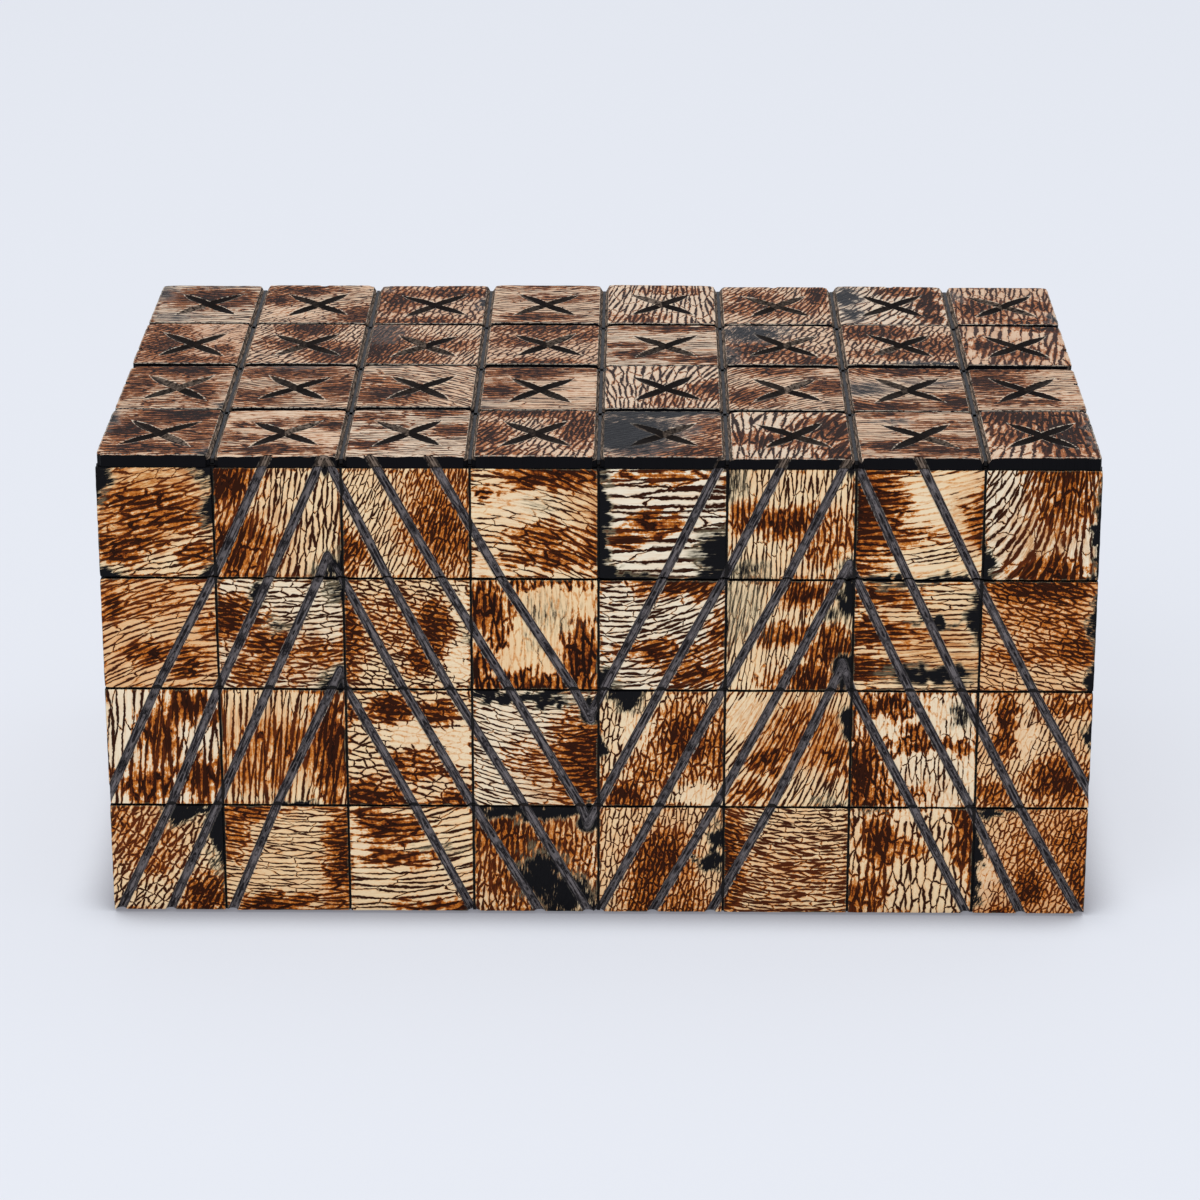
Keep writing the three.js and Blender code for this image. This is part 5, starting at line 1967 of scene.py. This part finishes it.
@dataclass
class Box:
    """The whole box: its cladding, its lining, and the finishes of its boards and hinges."""

    columns: Numbers = (-101.6, -78, -52, -26, 0, 26, 52, 78, 101.6)
    side_half: float = 60.65
    side_columns: int = 5
    hinge_places: Numbers = (-59.0, 59.0)
    hidden_looks_seed: int = 41

    def walls(self) -> dict[str, WallCladding]:
        """Lays out the four walls; those that face away take the front's looks in another order.

        Returns:
            The walls by name.
        """
        count, middle = self.side_columns, (self.side_columns / 2,)
        side_edges = tuple(np.linspace(-self.side_half, self.side_half, count + 1).tolist())
        plans = (
            ("front", (0.0, -1.0), BOX_DEPTH / 2, self.columns, FRONT_LINES, 100),
            ("right", (1.0, 0.0), BOX_WIDTH / 2, side_edges, chevron_lines(count, middle, 7), 200),
            ("back", (0.0, 1.0), BOX_DEPTH / 2, self.columns, chevron_lines(FRONT_COLUMNS, (2, 6), 8), 300),
            ("left", (-1.0, 0.0), BOX_WIDTH / 2, side_edges, chevron_lines(count, middle, 9), 400),
        )
        walls = {}
        for name, out, reach, edges, lines, seed in plans:
            looks, mirrors = WALL_LOOKS, [[False] * FRONT_COLUMNS] * COURSE_COUNT
            if name != "front":
                looks, mirrors = self.deal(len(edges) - 1, seed)
            hinges = self.hinge_places if name == "back" else ()
            walls[name] = WallCladding(Face(name, out, reach, edges), lines, looks, mirrors, seed, hinges)
        return walls

    def deal(self, columns: int, seed: int) -> tuple[list[list[TileLook]], list[list[bool]]]:
        """Deals the front's looks out to another wall, some of them mirrored.

        Args:
            columns: How many columns the wall has.
            seed: The wall's number.

        Returns:
            Rows of looks, and whether each is mirrored.
        """
        hand = np.random.default_rng(self.hidden_looks_seed + seed)
        stock = [style for row in WALL_LOOKS for style in row]
        order = hand.permutation(len(stock))[:COURSE_COUNT * columns].reshape(-1, columns)
        flips = hand.random(order.size) < 0.5
        return [[stock[number] for number in row] for row in order], flips.reshape(order.shape).tolist()

    def build(self) -> list[Piece]:
        """Builds every piece and dresses the CAD nodes that stay.

        Returns:
            The pieces.
        """
        mastic = Mastic().make()
        bone = [ScorchedBone("scorched_bone").make(), mastic]
        # Painted shade: the top's bone is a darker, duller copy of the walls' bone for the shade on the top;
        # it also burns more, cracks thicker, and has stronger painted highlights on its lips and a painted
        # highlight along its rim
        shaded_top_bone = [
            ScorchedBone(
                "scorched_bone_top_shaded", pale=srgb(212, 186, 160), peach=srgb(190, 152, 126),
                white=srgb(214, 200, 182), glow=srgb(204, 146, 96), orange=srgb(170, 108, 62),
                rust=srgb(134, 78, 46), ember=srgb(86, 46, 28), char=srgb(24, 16, 14),
                golden=srgb(216, 176, 120), umber=srgb(186, 142, 92), smoke=srgb(118, 110, 106),
                gouged=srgb(150, 132, 118), gouged_dark=srgb(24, 20, 19), worn=0.1, lip=0.9, gloss=0.03,
                fire=0.1, thick=1.15, gritty=1.4, rim=0.6,
            ).make(),
            mastic,
        ]
        walls = self.walls()
        pieces = [wall.build(course, bone) for wall in walls.values() for course in COURSES]
        top = TopCladding(TOP_LOOKS, walls, self.columns)
        pieces += [top.build(row, shaded_top_bone) for row in range(top.rows)]
        felt = Felt().make()
        base_boards = ("base_bottom_board", "base_front_board", "base_left_board", "base_right_board",
                       "base_back_board")
        lid_boards = ("lid_top_board", "lid_front_rail", "lid_left_rail", "lid_right_rail", "lid_back_rail")
        pieces += [sheet.build(felt) for sheet in (
            FeltTray("base_lining", base_boards, 6.05, 73.7, (0.317, 0.241), 0.0586),
            FeltTray("lid_lining", lid_boards, 93.15, 75.3, (0.219, 0.143), 0.0300, body="lid"),
            FeltFoot("base_felt_pad", ("base_bottom_board",), 0.0, 1.0, (0.1916, 0.1154)),
        )]
        self.dress((*base_boards, *lid_boards))
        return pieces

    def dress(self, boards: Sequence[str]) -> None:
        """Gives the boards their wood and the hinges their brass.

        Args:
            boards: The boards' nodes.
        """
        woods = {False: Wood("wood_lengthwise").make(), True: Wood("wood_crosswise", turned=True).make()}
        brass = Brass().make()
        for name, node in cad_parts.items():
            if name in boards or name.startswith("hinge_"):
                node.data.materials.clear()
                crosswise = "left" in name or "right" in name
                node.data.materials.append(woods[crosswise] if name in boards else brass)


@dataclass(frozen=True)
class Studio:
    """A pale table top and backdrop, soft lamps, and the photograph's camera."""

    backdrop: Colour = srgb(229, 233, 242)
    # Colour of the painted contact shadow on the floor close to the box
    contact_shadow: Colour = srgb(150, 150, 158)
    azimuth: float = 0.63
    elevation: float = 20.1
    distance: float = 907.1
    target: Triple = (-0.39, 0.0, 46.85)
    lens: float = 123.6
    fill: float = 0.55
    floor_half: float = 4.0

    def build(self) -> None:
        """Builds the floor, the lamps, the world and the camera."""
        self.make_floor()
        self.make_world()
        self.make_lamp("key", (-0.5, -1.1, 1.5), 1.4, 17.0)
        self.make_lamp("over", (0.2, 0.5, 1.7), 1.6, 10.0)
        self.make_camera()

    def make_floor(self) -> None:
        """Makes the floor: half of its colour is its own light, so that it meets the background's colour, and
        ambient occlusion paints a contact shadow into its colour close to the box.
        """
        desk = Desk(bpy.data.materials.new("studio_floor"))
        # Painted contact shadow: where ambient occlusion finds the box close, the floor's colour darkens
        # towards the shadow colour
        corner = desk.value("ShaderNodeAmbientOcclusion", {"samples": 16}, {"Distance": 0.014}, "AO")
        colour = desk.mix(corner.rise(0.35, 1.0), self.contact_shadow, self.backdrop)
        lit = desk.value("ShaderNodeBsdfDiffuse", {}, {"Color": colour})
        own = desk.value("ShaderNodeEmission", {}, {"Color": colour, "Strength": 1.0})
        both = desk.value("ShaderNodeMixShader", {}, {0: 0.72, 1: lit, 2: own})
        desk.node("ShaderNodeOutputMaterial", {}, {0: both})
        half = self.floor_half
        mesh = bpy.data.meshes.new("studio_floor")
        corners = [(-half, -half, 0), (half, -half, 0), (half, half, 0), (-half, half, 0)]
        mesh.from_pydata(corners, [], [(0, 1, 2, 3)])
        mesh.materials.append(desk.owner)
        floor = bpy.data.objects.new("studio_floor", mesh)
        bpy.context.scene.collection.objects.link(floor)

    def make_world(self) -> None:
        """Makes the world: an even fill light, and the backdrop's colour to the camera and in gloss."""
        desk = Desk(bpy.data.worlds.new("studio_light"))
        path = desk.node("ShaderNodeLightPath").outputs
        camera, gloss, glass = (
            Wire(desk, path[name]) for name in ("Is Camera Ray", "Is Glossy Ray", "Is Transmission Ray"))
        light, view = (
            desk.value("ShaderNodeBackground", {}, {"Color": colour, "Strength": strength})
            for colour, strength in (((1.0, 1.0, 1.0), self.fill), (self.backdrop, 1.0)))
        seen = camera.or_more(gloss).or_more(glass)
        both = desk.value("ShaderNodeMixShader", {}, {0: seen, 1: light, 2: view})
        desk.node("ShaderNodeOutputWorld", {}, {0: both})
        bpy.context.scene.world = desk.owner

    def make_lamp(self, name: str, place: Triple, size: float, power: float) -> None:
        """Makes a large square lamp that looks at the box.

        Args:
            name: Its name.
            place: Where it hangs, in metres.
            size: Its width in metres.
            power: Its power in watts.
        """
        data = bpy.data.lights.new(name, "AREA")
        data.size, data.energy = size, power
        lamp = bpy.data.objects.new(name, data)
        lamp.location = place
        lamp.rotation_euler = (Vector((0, 0, 0.05)) - Vector(place)).to_track_quat("-Z", "Y").to_euler()
        bpy.context.scene.collection.objects.link(lamp)

    def make_camera(self) -> None:
        """Makes the camera at its distance from the target."""
        turn, rise = math.radians(self.azimuth), math.radians(self.elevation)
        away = Vector((math.sin(turn) * math.cos(rise), -math.cos(turn) * math.cos(rise), math.sin(rise)))
        data = bpy.data.cameras.new("camera")
        data.sensor_width, data.lens, data.clip_end = 36, self.lens, 50
        camera = bpy.data.objects.new("camera", data)
        camera.location = (Vector(self.target) + self.distance * away) * MILLIMETRE
        camera.rotation_euler = (-away).to_track_quat("-Z", "Y").to_euler()
        bpy.context.scene.collection.objects.link(camera)
        bpy.context.scene.camera = camera


def main() -> None:
    """Builds the scene."""
    logging.basicConfig(level=logging.INFO, format="%(name)s: %(message)s")
    bpy.context.scene.view_settings.view_transform = "Standard"
    Studio().build()
    for piece in Box().build():
        log.info("%s: %d faces", piece.name, len(piece.data.polygons))


if __name__ == "__main__":
    main()
